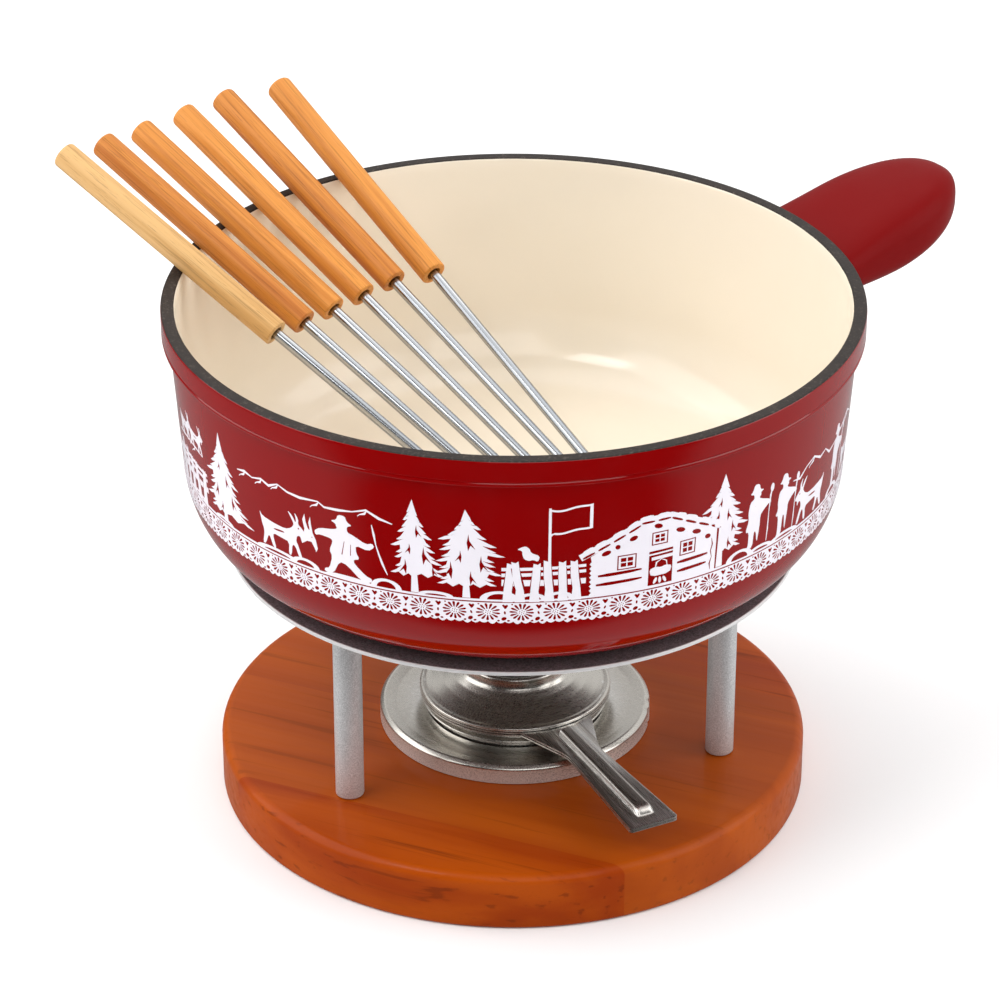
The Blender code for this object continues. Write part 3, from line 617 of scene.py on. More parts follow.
def zinc():
    look = Look("zinc", roughness=0.3, metallic=1.0)
    cloud = look.noise(look.place, 700, 4, 0.6)
    look.colour(look.mix(cloud, (0.42, 0.42, 0.41), (0.62, 0.62, 0.60)))
    look.roughness(look.span(cloud, 0.3, 0.7, 0.22, 0.42))
    look.bump(look.noise(look.place, 4000, 3), 0.00002, 0.4)
    return look.material


def polished_steel():
    """Drawn wire with long soft streaks of light and blue-grey."""
    look = Look("polished_steel", roughness=0.24, metallic=1.0)
    hair = look.noise(look.mapped((900, 900, 9)), 1.0, 2, 0.5)
    look.colour(look.mix(look.span(hair, 0.38, 0.62), (0.30, 0.315, 0.335), (0.52, 0.525, 0.53)))
    look.roughness(look.span(hair, 0.35, 0.7, 0.19, 0.28))
    look.bump(hair, 0.000002, 0.02)
    return look.material


def wool_felt():
    look = Look("wool_felt", roughness=0.95)
    look.shader.inputs["Sheen Weight"].default_value = 0.3
    mat = look.noise(look.place, 900, 6, 0.7, 1.2)
    tufts = look.noise(look.place, 160, 4, 0.6)
    colour = look.mix(look.span(mat, 0.3, 0.7), (0.50, 0.47, 0.41), (0.80, 0.77, 0.71))
    look.colour(look.mix(look.span(tufts, 0.55, 0.75, 0.0, 0.4), colour, (0.33, 0.27, 0.20)))
    look.bump(look.maths("ADD", mat, tufts), 0.0006, 0.8)
    return look.material


def gauze_wire():
    look = Look("gauze_wire", roughness=0.35, metallic=1.0)
    heat = look.noise(look.place, 120, 4)
    look.colour(look.mix(heat, (0.28, 0.25, 0.23), (0.50, 0.49, 0.47)))
    look.roughness(look.span(look.noise(look.place, 1500, 3), 0.3, 0.7, 0.26, 0.5))
    look.bump(look.noise(look.place, 5000, 2), 0.00001, 0.4)
    return look.material


# Shapes


def around(radius, angle, height=0.0):
    """The point at a radius, an angle and a height about the Z axis."""
    return Vector((radius * math.cos(angle), radius * math.sin(angle), height))


def place(name, mesh, materials, body, slot, *nodes):
    """Links a mesh as a piece that rides on a body and may stand for nodes. The slot is not used.
    """
    piece = add_object(name, mesh)
    for material in materials:
        mesh.materials.append(material)
    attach(piece, body)
    if nodes:
        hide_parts(*nodes)
    return piece


def smooth(mesh, degrees=35):
    """Smooth shading, except over edges sharper than the angle."""
    mesh.shade_smooth()
    mesh.set_sharp_from_angle(angle=math.radians(degrees))


def mesh_from(shape, name):
    """A new mesh from a bmesh, which is freed."""
    mesh = bpy.data.meshes.new(name)
    shape.to_mesh(mesh)
    shape.free()
    return mesh


def evaluated(holder, *helpers):
    """The mesh of an object after its modifiers. The object and its helpers are removed."""
    graph = bpy.context.evaluated_depsgraph_get()
    mesh = bpy.data.meshes.new_from_object(holder.evaluated_get(graph))
    mesh.name = holder.name
    for obj in (holder, *helpers):
        bpy.data.objects.remove(obj, do_unlink=True)
    return mesh


def skin(shape, rings):
    """Faces from each ring of a bmesh's vertices to the next."""
    for near, far in zip(rings, rings[1:]):
        for i in range(len(near)):
            j = (i + 1) % len(near)
            shape.faces.new((near[i], near[j], far[j], far[i]))


def upright(spot):
    """A frame with Z up whose origin stands at a spot (x, y)."""
    return Matrix.Translation(spot.to_3d())


def ellipse(centre_r, centre_z, wide, high, start, end, count):
    """(radius, height) points on an ellipse, from one angle in degrees to another."""
    points = []
    for i in range(count + 1):
        angle = math.radians(start + (end - start) * i / count)
        points.append((centre_r + wide * math.cos(angle), centre_z + high * math.sin(angle)))
    return points


def arc(centre_r, centre_z, radius, start, end, count):
    """(radius, height) points on a circle, from one angle in degrees to another."""
    return ellipse(centre_r, centre_z, radius, radius, start, end, count)


def rounded(corners, closed=False, steps=4):
    """A (radius, height) outline whose corners, given as (radius, height, rounding), are arcs."""
    points = []
    count = len(corners)
    for i, (r, z, rounding) in enumerate(corners):
        here = Vector((r, z))
        at_end = not closed and i in (0, count - 1)
        if at_end or rounding == 0:
            points.append((r, z))
            continue
        back = Vector(corners[i - 1][:2]) - here
        on = Vector(corners[(i + 1) % count][:2]) - here
        reach = rounding / math.tan(max(back.angle(on), 0.1) / 2)
        first = here + back.normalized() * min(reach, back.length * 0.49)
        last = here + on.normalized() * min(reach, on.length * 0.49)
        for k in range(steps + 1):
            t = k / steps
            point = first * (1 - t) ** 2 + here * 2 * t * (1 - t) + last * t**2
            points.append((point.x, point.y))
    return points


def between(start, end, shares):
    """Points of the straight line from start to end, at shares of the way."""
    return [tuple(a + (b - a) * share for a, b in zip(start, end)) for share in shares]


def inset(outline, thickness):
    """The other side of a pressed sheet whose outer side is the outline."""
    inner = []
    for i, (r, z) in enumerate(outline):
        before = Vector(outline[max(i - 1, 0)])
        after = Vector(outline[min(i + 1, len(outline) - 1)])
        run = (after - before).normalized()
        inner.append((max(r + run.y * thickness, 0), z - run.x * thickness))
    return inner


def sheet(outline, thickness):
    """The closed section of a pressed sheet."""
    return inset(outline, thickness)[::-1] + list(outline)


def turned(name, profile, steps=160, centre=(0, 0), closed=False, zones=None, warp=None):
    """A mesh of revolution about a vertical line. zones gives each band's material index, and
    warp may move a ring's point, from its index in the profile and its angle."""
    vertices = []
    rings = []
    for index, (r, z) in enumerate(profile):
        if r < 1e-7:
            rings.append([len(vertices)])
            vertices.append((centre[0], centre[1], z))
            continue
        rings.append(list(range(len(vertices), len(vertices) + steps)))
        for k in range(steps):
            angle = math.tau * k / steps
            own_r, own_z = warp(index, angle, r, z) if warp else (r, z)
            point = around(own_r, angle, own_z)
            vertices.append((point.x + centre[0], point.y + centre[1], point.z))
    faces = []
    bands = []
    pairs = list(zip(rings, rings[1:]))
    if closed:
        pairs.append((rings[-1], rings[0]))
    for band, (upper, lower) in enumerate(pairs):
        if len(upper) == 1 and len(lower) == 1:
            continue
        for k in range(steps):
            j = (k + 1) % steps
            if len(upper) == 1:
                faces.append((upper[0], lower[k], lower[j]))
            elif len(lower) == 1:
                faces.append((upper[k], lower[0], upper[j]))
            else:
                faces.append((upper[k], lower[k], lower[j], upper[j]))
            bands.append(band)
    mesh = bpy.data.meshes.new(name)
    mesh.from_pydata(vertices, [], faces)
    if zones:
        for face, band in zip(mesh.polygons, bands):
            face.material_index = zones(band)
    mesh.update()
    face_out(mesh)
    smooth(mesh)
    return mesh


def face_out(mesh):
    """Turns every face outward."""
    shape = bmesh.new()
    shape.from_mesh(mesh)
    bmesh.ops.recalc_face_normals(shape, faces=shape.faces)
    shape.to_mesh(mesh)
    shape.free()


def rod(radius, bottom, top, sides=32, matrix=None, top_radius=None):
    """A cylinder or cone along Z between two heights, as a mesh for cutting or joining."""
    shape = bmesh.new()
    bmesh.ops.create_cone(
        shape,
        cap_ends=True,
        segments=sides,
        radius1=radius,
        radius2=radius if top_radius is None else top_radius,
        depth=top - bottom,
        matrix=(matrix or Matrix()) @ Matrix.Translation((0, 0, (top + bottom) / 2)),
    )
    return mesh_from(shape, "rod")


def combined(mesh, joined=(), cut=()):
    """The mesh after exact Booleans, with the joined meshes first and then the cut ones."""
    main = add_object(mesh.name, mesh)
    helpers = []
    changes = [("UNION", other) for other in joined] + [("DIFFERENCE", other) for other in cut]
    for operation, other in changes:
        helper = add_object("cutter", other)
        change = main.modifiers.new("cut", "BOOLEAN")
        change.operation = operation
        change.solver = "EXACT"
        change.object = helper
        helpers.append(helper)
    return evaluated(main, *helpers)


def bevelled(mesh, width, degrees):
    """The mesh with its edges sharper than an angle bevelled."""
    holder = add_object(mesh.name, mesh)
    change = holder.modifiers.new("soften", "BEVEL")
    change.width = width
    change.segments = 2
    change.limit_method = "ANGLE"
    change.angle_limit = math.radians(degrees)
    return evaluated(holder)


def flat_mesh(name, loops, thickness, bevel=0.0):
    """A plate from closed outlines, the first solid and the rest holes, lying at z = 0."""
    curve = bpy.data.curves.new(name, "CURVE")
    curve.dimensions = "2D"
    curve.fill_mode = "BOTH"
    curve.extrude = thickness / 2 - bevel
    curve.bevel_depth = bevel
    curve.bevel_resolution = 1
    curve.offset = -bevel
    for loop in loops:
        spline = curve.splines.new("POLY")
        spline.points.add(len(loop) - 1)
        for point, (x, y) in zip(spline.points, loop):
            point.co = (x, y, 0, 1)
        spline.use_cyclic_u = True
    shape = bmesh.new()
    shape.from_mesh(evaluated(add_object(name, curve)))
    bmesh.ops.remove_doubles(shape, verts=shape.verts, dist=1e-6)
    bmesh.ops.recalc_face_normals(shape, faces=shape.faces)
    return mesh_from(shape, name)


def leg_spots():
    """Where each leg stands, as (x, y)."""
    spots = []
    for name in LEG_NAMES:
        low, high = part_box(name)
        spots.append(((low + high) / 2).xy)
    return spots


# Stand


def wooden_base():
    profile = [(BASE_R * share, BASE_H) for share in (0, 0.3, 0.6, 0.85)]
    profile += arc(BASE_R - BASE_TOP_ROUND, BASE_H - BASE_TOP_ROUND, BASE_TOP_ROUND, 90, 0, 12)
    profile.append((BASE_R, BASE_H * 0.5))
    profile += arc(BASE_R - BASE_FOOT_ROUND, BASE_FOOT_ROUND, BASE_FOOT_ROUND, 0, -90, 6)
    profile += [(BASE_R * 0.6, 0), (0, 0)]
    cuts = []
    for here in map(upright, leg_spots()):
        cuts.append(rod(SCREW_HOLE_R, -CUT_PAST, BASE_H + CUT_PAST, 32, here))
        cuts.append(rod(COUNTERBORE_R, -CUT_PAST, COUNTERBORE_H, 48, here))
    mesh = combined(turned("base_disc", profile, 256), cut=cuts)
    smooth(mesh)
    place("base_disc", mesh, [lacquered_cherry()], "stand", "cherry_wood", "wood_base")


def legs():
    paint = hammered_silver()
    for name, spot in zip(LEG_NAMES, leg_spots()):
        low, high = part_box(name)
        profile = rounded([
            (0, high.z - LEG_THREAD_H, 0),
            (SCREW_HOLE_R, high.z - LEG_THREAD_H, 0),
            (SCREW_HOLE_R, high.z, 0.0001),
            (LEG_R, high.z, 0.0005),
            (LEG_R, low.z, 0.0006),
            (SCREW_HOLE_R, low.z, 0.0001),
            (SCREW_HOLE_R, low.z + LEG_THREAD_H, 0),
            (0, low.z + LEG_THREAD_H, 0),
        ])
        mesh = turned(name.replace("leg", "rod"), profile, 64, spot)
        place(mesh.name, mesh, [paint], "stand", "silver_paint", name)


def screw(name, node, corners, socket_from, socket_to, spot, plate):
    """A turned screw that stands for a node, with a hexagon socket between two heights."""
    socket = rod(SOCKET_R, socket_from, socket_to, 6, upright(spot))
    mesh = combined(turned(name, rounded(corners), 48, spot), cut=[socket])
    smooth(mesh)
    place(name, mesh, [plate], "stand", "zinc_steel", node)


def screws():
    plate = zinc()
    for i, spot in enumerate(leg_spots(), 1):
        node = f"base_screw_{i}"
        low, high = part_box(node)
        head_r = (high.x - low.x) / 2
        seat = low.z + CAP_HEAD_H
        dish = low.z + CAP_DISH_H
        corners = [(0, high.z, 0), (SHANK_R - TIP_IN, high.z, 0), (SHANK_R, high.z - TIP_H, 0)]
        corners += [(SHANK_R, seat, 0), (head_r, seat, 0.0002), (head_r, low.z, 0.0005)]
        corners += [(CAP_DISH_R, low.z, 0.0002), (CAP_DISH_R, dish, 0), (0, dish, 0)]
        hollow = (low.z - SHORT_PAST, low.z + CAP_SOCKET_H)
        screw(f"base_cap_screw_{i}", node, corners, *hollow, spot, plate)
        node = f"ring_screw_{i}"
        low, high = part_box(node)
        head_r = (high.x - low.x) / 2
        seat = high.z - SUNK_HEAD_H
        corners = [(0, high.z, 0), (head_r, high.z, 0.0001), (SHANK_R, seat, 0.0002)]
        corners += [(SHANK_R, low.z + TIP_H, 0), (SHANK_R - TIP_IN, low.z, 0), (0, low.z, 0)]
        hollow = (high.z - SUNK_SOCKET_H, high.z + SHORT_PAST)
        screw(f"ring_sunk_screw_{i}", node, corners, *hollow, spot, plate)


def support_ring():
    profile = rounded([
        (RING_HOLE_R, RING_TOP, RING_EDGE),
        (RING_R, RING_TOP, RING_EDGE),
        (RING_R, RING_UNDER, RING_EDGE),
        (RING_HOLE_R, RING_UNDER, RING_EDGE),
    ], closed=True)
    cuts = []
    for here in map(upright, leg_spots()):
        cuts.append(rod(SCREW_HOLE_R, RING_UNDER - CUT_PAST, RING_TOP + CUT_PAST, 32, here))
        sink_from, sink_to = RING_TOP - SINK_H, RING_TOP + SHORT_PAST
        cuts.append(rod(SHANK_R, sink_from, sink_to, 32, here, SINK_R))
    mesh = combined(turned("ring_plate", profile, 256, closed=True), cut=cuts)
    smooth(mesh)
    place("ring_plate", mesh, [ring_steel()], "stand", "ring_steel", "support_ring")


# Pot

RED, CREAM, IRON, GROUND = range(4)  # the order of the pot's finishes


def pot_line():
    """The pot's half section, from the middle of its floor up the inside, over the rim, down
    the outside and back under, with the index of the point at each change of finish."""
    inner_high = CORNER_H - FLOOR_H
    foot_angle = math.degrees(math.asin((FOOT_H - CORNER_H) / CORNER_HIGH))
    line = [(0, FLOOR_H), (0.03, FLOOR_H), (0.06, FLOOR_H)]
    line += ellipse(INNER_CORNER_R, CORNER_H, INNER_CORNER_WIDE, inner_high, -90, 0, 20)
    inner_top = (MOUTH_R - 0.0002, POT_H - 0.0011)
    line += between(line[-1], inner_top, (0.25, 0.5, 0.75, 0.95, 1))
    line += rounded([
        (*inner_top, 0),
        (MOUTH_R + 0.0002, POT_H, 0.0008),
        (MOUTH_R + 0.0013, POT_H, 0),
    ], steps=5)[1:-1]
    line.append((MOUTH_R + 0.0014, POT_H))
    cream_end = len(line) - 6  # just below the rim's inner corner
    line.append((MOUTH_R + 0.0023, POT_H))
    line += rounded([
        (RIM_R - 0.0021, POT_H, 0),
        (BAND_R, POT_H, 0.0009),
        (BAND_R, POT_H - 0.0020, 0),
    ], steps=5)[1:]
    iron_end = len(line) - 4  # within the rim's outer corner
    line += rounded([
        (BAND_R, POT_H - 0.0022, 0),
        (BAND_R, BAND_UNDER + 0.0018, 0.0002),
        (BAND_R - 0.0003, BAND_UNDER + 0.0014, 0.0002),
        (BAND_R, BAND_UNDER + 0.0010, 0.0002),
        (BAND_R, BAND_UNDER, 0.0005),
        (WALL_TOP_R, BAND_UNDER - 0.0007, 0.0006),
        (WALL_TOP_R - 0.0004, BAND_UNDER - 0.006, 0),
    ], steps=5)
    corner_top = (CORNER_R + CORNER_WIDE, CORNER_H)
    line += between(line[-1], corner_top, (0.2, 0.4, 0.6, 0.8))
    line += ellipse(CORNER_R, CORNER_H, CORNER_WIDE, CORNER_HIGH, 0, foot_angle, 24)
    sole = len(line) + 5  # within the foot's outer edge
    line += rounded([
        (line[-1][0], FOOT_H, 0),
        (FOOT_R, FOOT_H, 0.0003),
        (FOOT_R, 0, 0.0004),
        (FOOT_INNER_R, 0, 0.0003),
        (FOOT_INNER_R - 0.0005, HOLLOW_H, 0.0004),
        (0, HOLLOW_H, 0),
    ])[1:]
    return line, cream_end, iron_end, sole


def wall_radius(height):
    """The outer wall's radius at a height above the pot's underside."""
    if height >= CORNER_H:
        foot_r = CORNER_R + CORNER_WIDE
        share = (height - CORNER_H) / (BAND_UNDER - 0.0007 - CORNER_H)
        return foot_r + (WALL_TOP_R - foot_r) * share
    drop = (CORNER_H - height) / CORNER_HIGH
    return CORNER_R + CORNER_WIDE * math.sqrt(1 - drop * drop)


def grip_line(share):
    """The handle's middle line, from its root at 0 to its end at 1."""
    x = GRIP_ROOT.x + GRIP_LENGTH * math.cos(GRIP_TILT) * share
    z = GRIP_ROOT.z + GRIP_LENGTH * math.sin(GRIP_TILT) * share + GRIP_LIFT * share**2
    return Vector((x, 0, POT_Z + z))


def grip_chord():
    return (grip_line(1) - grip_line(0)).normalized()


def bolt_matrix():
    """The bolt's frame: Z along the handle, from the pot's axis."""
    chord = grip_chord()
    across = Vector((0, 1, 0))
    turn = Matrix((across, chord.cross(across), chord)).transposed().to_4x4()
    start = grip_line(0) - chord * (GRIP_ROOT.x / chord.x)
    return Matrix.Translation(start) @ turn


def along_bolt(x):
    """How far along the bolt's frame a distance from the pot's axis is."""
    return x / grip_chord().x


def oval(halves, start, end):
    """A cylinder along the bolt, with an oval section."""
    mesh = rod(1, start, end, 64)
    mesh.transform(Matrix.Diagonal((halves[0], halves[1], 1, 1)))
    mesh.transform(bolt_matrix())
    return mesh


def pot():
    line, cream_end, iron_end, sole = pot_line()
    profile = [(r, POT_Z + z) for r, z in line]

    def zones(band):
        if band < cream_end:
            return CREAM
        if band < iron_end:
            return IRON
        return RED if band < sole else GROUND

    def ragged(index, angle, r, z):
        """The enamel ends unevenly at the bare rim, with small chips on the inside."""
        if index == cream_end:
            here = around(1, angle)
            slow = noise.noise(here * 19)
            chips = max(0, noise.noise(here * 85) - 0.12) + max(0, noise.noise(here * 40) - 0.3)
            return r + 0.00008 * slow, z - 0.00012 * chips
        if index == iron_end:
            return r, z + 0.00008 * noise.noise(around(1, angle) * 31)
        return r, z

    mesh = turned("pot_shell", profile, POT_STEPS, zones=zones, warp=ragged)
    boss = oval(BOSS_HALF, along_bolt(BOSS_FROM), along_bolt(BOSS_TO))
    thread = rod(BOLT_R + 0.0003, along_bolt(THREAD_FROM), along_bolt(THREAD_TO), 32)
    thread.transform(bolt_matrix())
    mesh = combined(mesh, joined=[boss], cut=[thread])
    smooth(mesh, 40)
    finishes = [red_enamel(), cream_enamel(), bare_rim(), ground_enamel()]
    place("pot_shell", mesh, finishes, "pot", "red_enamel", "pot_body")


def grip_section(share, count):
    """The handle's section, a rounded box, at a share of its length."""
    ease = min(1, share / GRIP_SWELL_TO)
    ease = ease * ease * (3 - 2 * ease)
    closing = max(0, (share - GRIP_ROUND_FROM) / (1 - GRIP_ROUND_FROM))
    close = math.sqrt(max(0, 1 - closing**GRIP_ROUND_POWER))
    half_wide = (GRIP_HALF_WIDTHS[0] * (1 - ease) + GRIP_HALF_WIDTHS[1] * ease) * close
    half_thick = GRIP_HALF_THICKS[0] * (1 - ease) + GRIP_HALF_THICKS[1] * ease
    half_thick *= close**GRIP_THIN_POWER
    points = []
    for i in range(count):
        angle = math.tau * i / count
        side = math.copysign(abs(math.cos(angle)) ** (2 / GRIP_SECTION_POWER), math.cos(angle))
        rise = math.copysign(abs(math.sin(angle)) ** (2 / GRIP_SECTION_POWER), math.sin(angle))
        points.append(grip_line(share) + Vector((0, side * half_wide, rise * half_thick)))
    return points


def pot_handle():
    stations, count = 64, 96
    shape = bmesh.new()
    shares = [math.sin(math.pi / 2 * i / stations) for i in range(stations)]
    rings = [[shape.verts.new(p) for p in grip_section(share, count)] for share in shares]
    tip = shape.verts.new(grip_line(1))
    shape.faces.new(rings[0])
    skin(shape, rings)
    for i in range(count):
        shape.faces.new((rings[-1][i], rings[-1][(i + 1) % count], tip))
    bmesh.ops.recalc_face_normals(shape, faces=shape.faces)
    wall = rod(GRIP_ROOT_R, POT_Z - CUT_PAST, POT_TOP + 2 * CUT_PAST, 256)
    halves = [half + POCKET_GAP for half in BOSS_HALF]
    cut_from = along_bolt(GRIP_CUT_FROM)
    pocket = oval(halves, cut_from, along_bolt(BOSS_TO + POCKET_GAP))
    hole = rod(BOLT_R + POCKET_GAP, cut_from, along_bolt(BOLT_SEAT + SHORT_PAST), 32)
    recess = rod(BOLT_RECESS_R, along_bolt(BOLT_SEAT), along_bolt(GRIP_CUT_TO), 64)
    for cutter in (hole, recess):
        cutter.transform(bolt_matrix())
    mesh = combined(mesh_from(shape, "handle_grip"), cut=[wall, pocket, hole, recess])
    mesh = bevelled(mesh, 0.0004, 50)
    smooth(mesh)
    place("handle_grip", mesh, [satin_red()], "pot", "satin_red", "pot_handle")


def handle_bolt():
    plate = zinc()
    seat = along_bolt(BOLT_SEAT) + 0.0003
    head = seat + 0.0017
    top = head + BOLT_HEAD_H
    tip = along_bolt(BOLT_TIP)
    corners = [(WASHER_HOLE_R, seat + WASHER_H, 0), (WASHER_R, seat + WASHER_H, 0.0002)]
    corners += [(WASHER_R, seat, 0.0002), (WASHER_HOLE_R, seat, 0)]
    washer = turned("grip_washer", rounded(corners, closed=True), 64, closed=True)
    washer.transform(bolt_matrix())
    place("grip_washer", washer, [plate], "pot", "zinc_steel", "handle_washer")
    corners = [(0, top, 0), (BOLT_HEAD_R, top, 0.0006), (BOLT_HEAD_R, head, 0.0002)]
    corners += [(BOLT_R, head, 0), (BOLT_R, tip + TIP_H, 0), (BOLT_R - TIP_IN, tip, 0)]
    corners.append((0, tip, 0))
    socket = rod(SOCKET_R, top - BOLT_SOCKET_H, top + SHORT_PAST, 6)
    bolt = combined(turned("grip_bolt", rounded(corners), 48), cut=[socket])
    smooth(bolt)
    bolt.transform(bolt_matrix())
    place("grip_bolt", bolt, [plate], "pot", "zinc_steel", "handle_bolt")


# Forks


def fork_frame(joint):
    """A fork's own frame, from its draw joint: +Z up along it, +Y in the upright plane."""
    axis = Vector(joint["axis"]).normalized()
    side = Vector((0, 0, 1)).cross(axis).normalized()
    turn = Matrix((side, axis.cross(side), axis)).transposed().to_4x4()
    handle = frame["nodes"][joint["child"] + "_handle"].data
    total = Vector((0, 0, 0))
    for vertex in handle.vertices:
        total += vertex.co
    middle = total / len(handle.vertices)
    return Matrix.Translation(middle) @ turn


def reach(node, matrix):
    """How far a node runs along a frame's Z."""
    into = matrix.inverted()
    heights = [(into @ vertex.co).z for vertex in frame["nodes"][node].data.vertices]
    return min(heights), max(heights)


def fork_head(tip):
    """The flat three-tined head: an outline with rounded points, which bevels at its edges."""
    slot_end = tip + TINE_LONG
    neck = slot_end + TINE_NECK
    inner = TINE_HALF - TINE_WIDE
    half = [(ROD_R * 0.7, neck, 0.004), (TINE_HALF * 0.92, slot_end + 0.0022, 0.003)]
    half += [(TINE_HALF, slot_end - 0.002, 0.002), (TINE_HALF, tip + TINE_POINT, 0.004)]
    half += [(TINE_HALF - 0.0007, tip, 0.0001), (inner, tip + TINE_POINT, 0.004)]
    half += [(inner, slot_end, 0.0007), (TINE_WIDE / 2, slot_end, 0.0007)]
    half += [(TINE_WIDE / 2, tip + TINE_POINT, 0.004)]
    outline = half + [(0, tip, 0.0001)] + [(-x, y, round_off) for x, y, round_off in half[::-1]]
    return rounded(outline, closed=True, steps=3)


def forks():
    steel = polished_steel()
    stand_up = Matrix(((0, 0, 1, 0), (1, 0, 0, 0), (0, 1, 0, 0), (0, 0, 0, 1)))
    joints = [joint for joint in frame["joints"] if joint["name"].startswith("fork_")]
    for number, (joint, wood) in enumerate(zip(joints, FORK_WOODS), 1):
        slot, light, dark, flecks = wood
        body = joint["child"]
        matrix = fork_frame(joint)
        mouth, end = reach(body + "_handle", matrix)
        tip, sunk = reach(body + "_shank", matrix)
        corners = [(0, end, 0), (FORK_HANDLE_R, end, 0.0013), (FORK_HANDLE_R, mouth, 0.0006)]
        corners += [(FORK_MOUTH_R, mouth, 0.0003), (FORK_MOUTH_R, mouth + FORK_MOUTH_H, 0)]
        corners += [(ROD_R + 0.0003, mouth + FORK_MOUTH_H, 0), (ROD_R + 0.0003, sunk + 0.0003, 0)]
        corners.append((0, sunk + 0.0003, 0))
        mesh = turned(f"{body}_grip", rounded(corners), 64)
        grain = fork_wood(f"fork_wood_{number}", light, dark, number * 3.7, flecks)
        piece = place(mesh.name, mesh, [grain], body, slot, body + "_handle")
        piece.matrix_world = matrix
        head = flat_mesh("head", [fork_head(tip)], TINE_THICK, TINE_BEVEL)
        head.transform(stand_up)
        shank = turned(
            f"{body}_rod",
            rounded([
                (0, sunk, 0),
                (ROD_R, sunk, 0.0003),
                (ROD_R, tip + TINE_LONG + TINE_NECK * 0.85, 0.002),
                (0, tip + TINE_LONG + TINE_NECK * 0.45, 0),
            ]),
            32,
        )
        shank = combined(shank, joined=[head])
        smooth(shank)
        piece = place(f"{body}_rod", shank, [steel], body, "fork_steel", body + "_shank")
        piece.matrix_world = matrix


# Burner


def burner_tray(steel, painted_reflection_steel):
    top = TRAY_HIGH.z
    outline = rounded([
        (TRAY_HOLE_R, top - 0.0022, 0),
        (TRAY_R - 0.0060, top - 0.0009, 0.006),
        (TRAY_R - 0.0016, top + 0.0001, 0.0012),
        (TRAY_R, top - 0.0012, 0.0011),
        (TRAY_R, TRAY_LOW.z, 0),
    ], steps=6)
    section = rounded([(r, z, 0) for r, z in sheet(outline, TRAY_SHEET)], closed=True)

    def dents(index, angle, r, z):
        """Two small dents in the rim."""
        share = 0.0
        for centre in TRAY_DENTS:
            away = (angle - centre + math.pi) % math.tau - math.pi
            share += math.exp(-((away / TRAY_DENT_SPREAD) ** 2))
        band = (r - TRAY_R + TRAY_DENT_BAND) / TRAY_DENT_BAND
        bite = TRAY_DENT_H * share * max(0, min(1, band))
        return r - bite, z - bite * 0.4 * (z > TRAY_LOW.z + TRAY_DENT_BAND)

    def zones(band):
        """The outer side below the rim takes a lighter, less metallic copy of the steel: a painted
        reflection of the bright studio.
        """
        (r, z), (next_r, next_z) = section[band], section[(band + 1) % len(section)]
        return int(min(r, next_r) > TRAY_R - 0.0002 and min(z, next_z) < top - 0.002)

    mesh = turned("tray_ring", section, 256, BURNER_AT.xy, closed=True, zones=zones, warp=dents)
    place("tray_ring", mesh, [steel, painted_reflection_steel], "tray", "stainless", "burner_tray")


def burner_cup(steel):
    low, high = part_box("burner_cup")
    bead = TRAY_HIGH.z + 0.0005
    outline = rounded([
        (CUP_R, high.z, 0),
        (CUP_R, bead + 0.0011, 0.0003),
        (CUP_BEAD_R, bead + 0.0004, 0.0004),
        (CUP_BEAD_R, bead - 0.0002, 0.0003),
        (CUP_R, bead - 0.0009, 0.0003),
        (CUP_R, low.z, 0.0014),
        (0, low.z, 0),
    ])
    section = outline + inset(outline, SHEET)[::-1]
    mesh = turned("cup_shell", section[::-1], 192, BURNER_AT.xy)
    place("cup_shell", mesh, [steel], "burner", "stainless", "burner_cup")


def fuel_pad():
    """The wool pad in the cup, which holds the fuel."""
    low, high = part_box("fuel_pad")
    profile = [(WOOL_R * i / 24, high.z) for i in range(24)]
    side = WOOL_R - WOOL_ROUND
    profile += arc(side, high.z - WOOL_ROUND, WOOL_ROUND, 75, 0, 5)
    profile += arc(side, low.z + WOOL_ROUND, WOOL_ROUND, 0, -90, 5)
    profile.append((0, low.z))

    def matted(index, angle, r, z):
        """The top sinks unevenly, in coarse tufts and fine ones."""
        here = around(r, angle, z)
        sink = 0.0004 + 0.0005 * noise.noise(here * 420) + 0.0003 * noise.noise(here * 1100)
        return r, z - max(0, sink) * (z > high.z - 0.0005)

    mesh = turned("wool_pad", profile, 96, BURNER_AT.xy, warp=matted)
    piece = place("wool_pad", mesh, [wool_felt()], "burner", "fuel_wool", "fuel_pad")


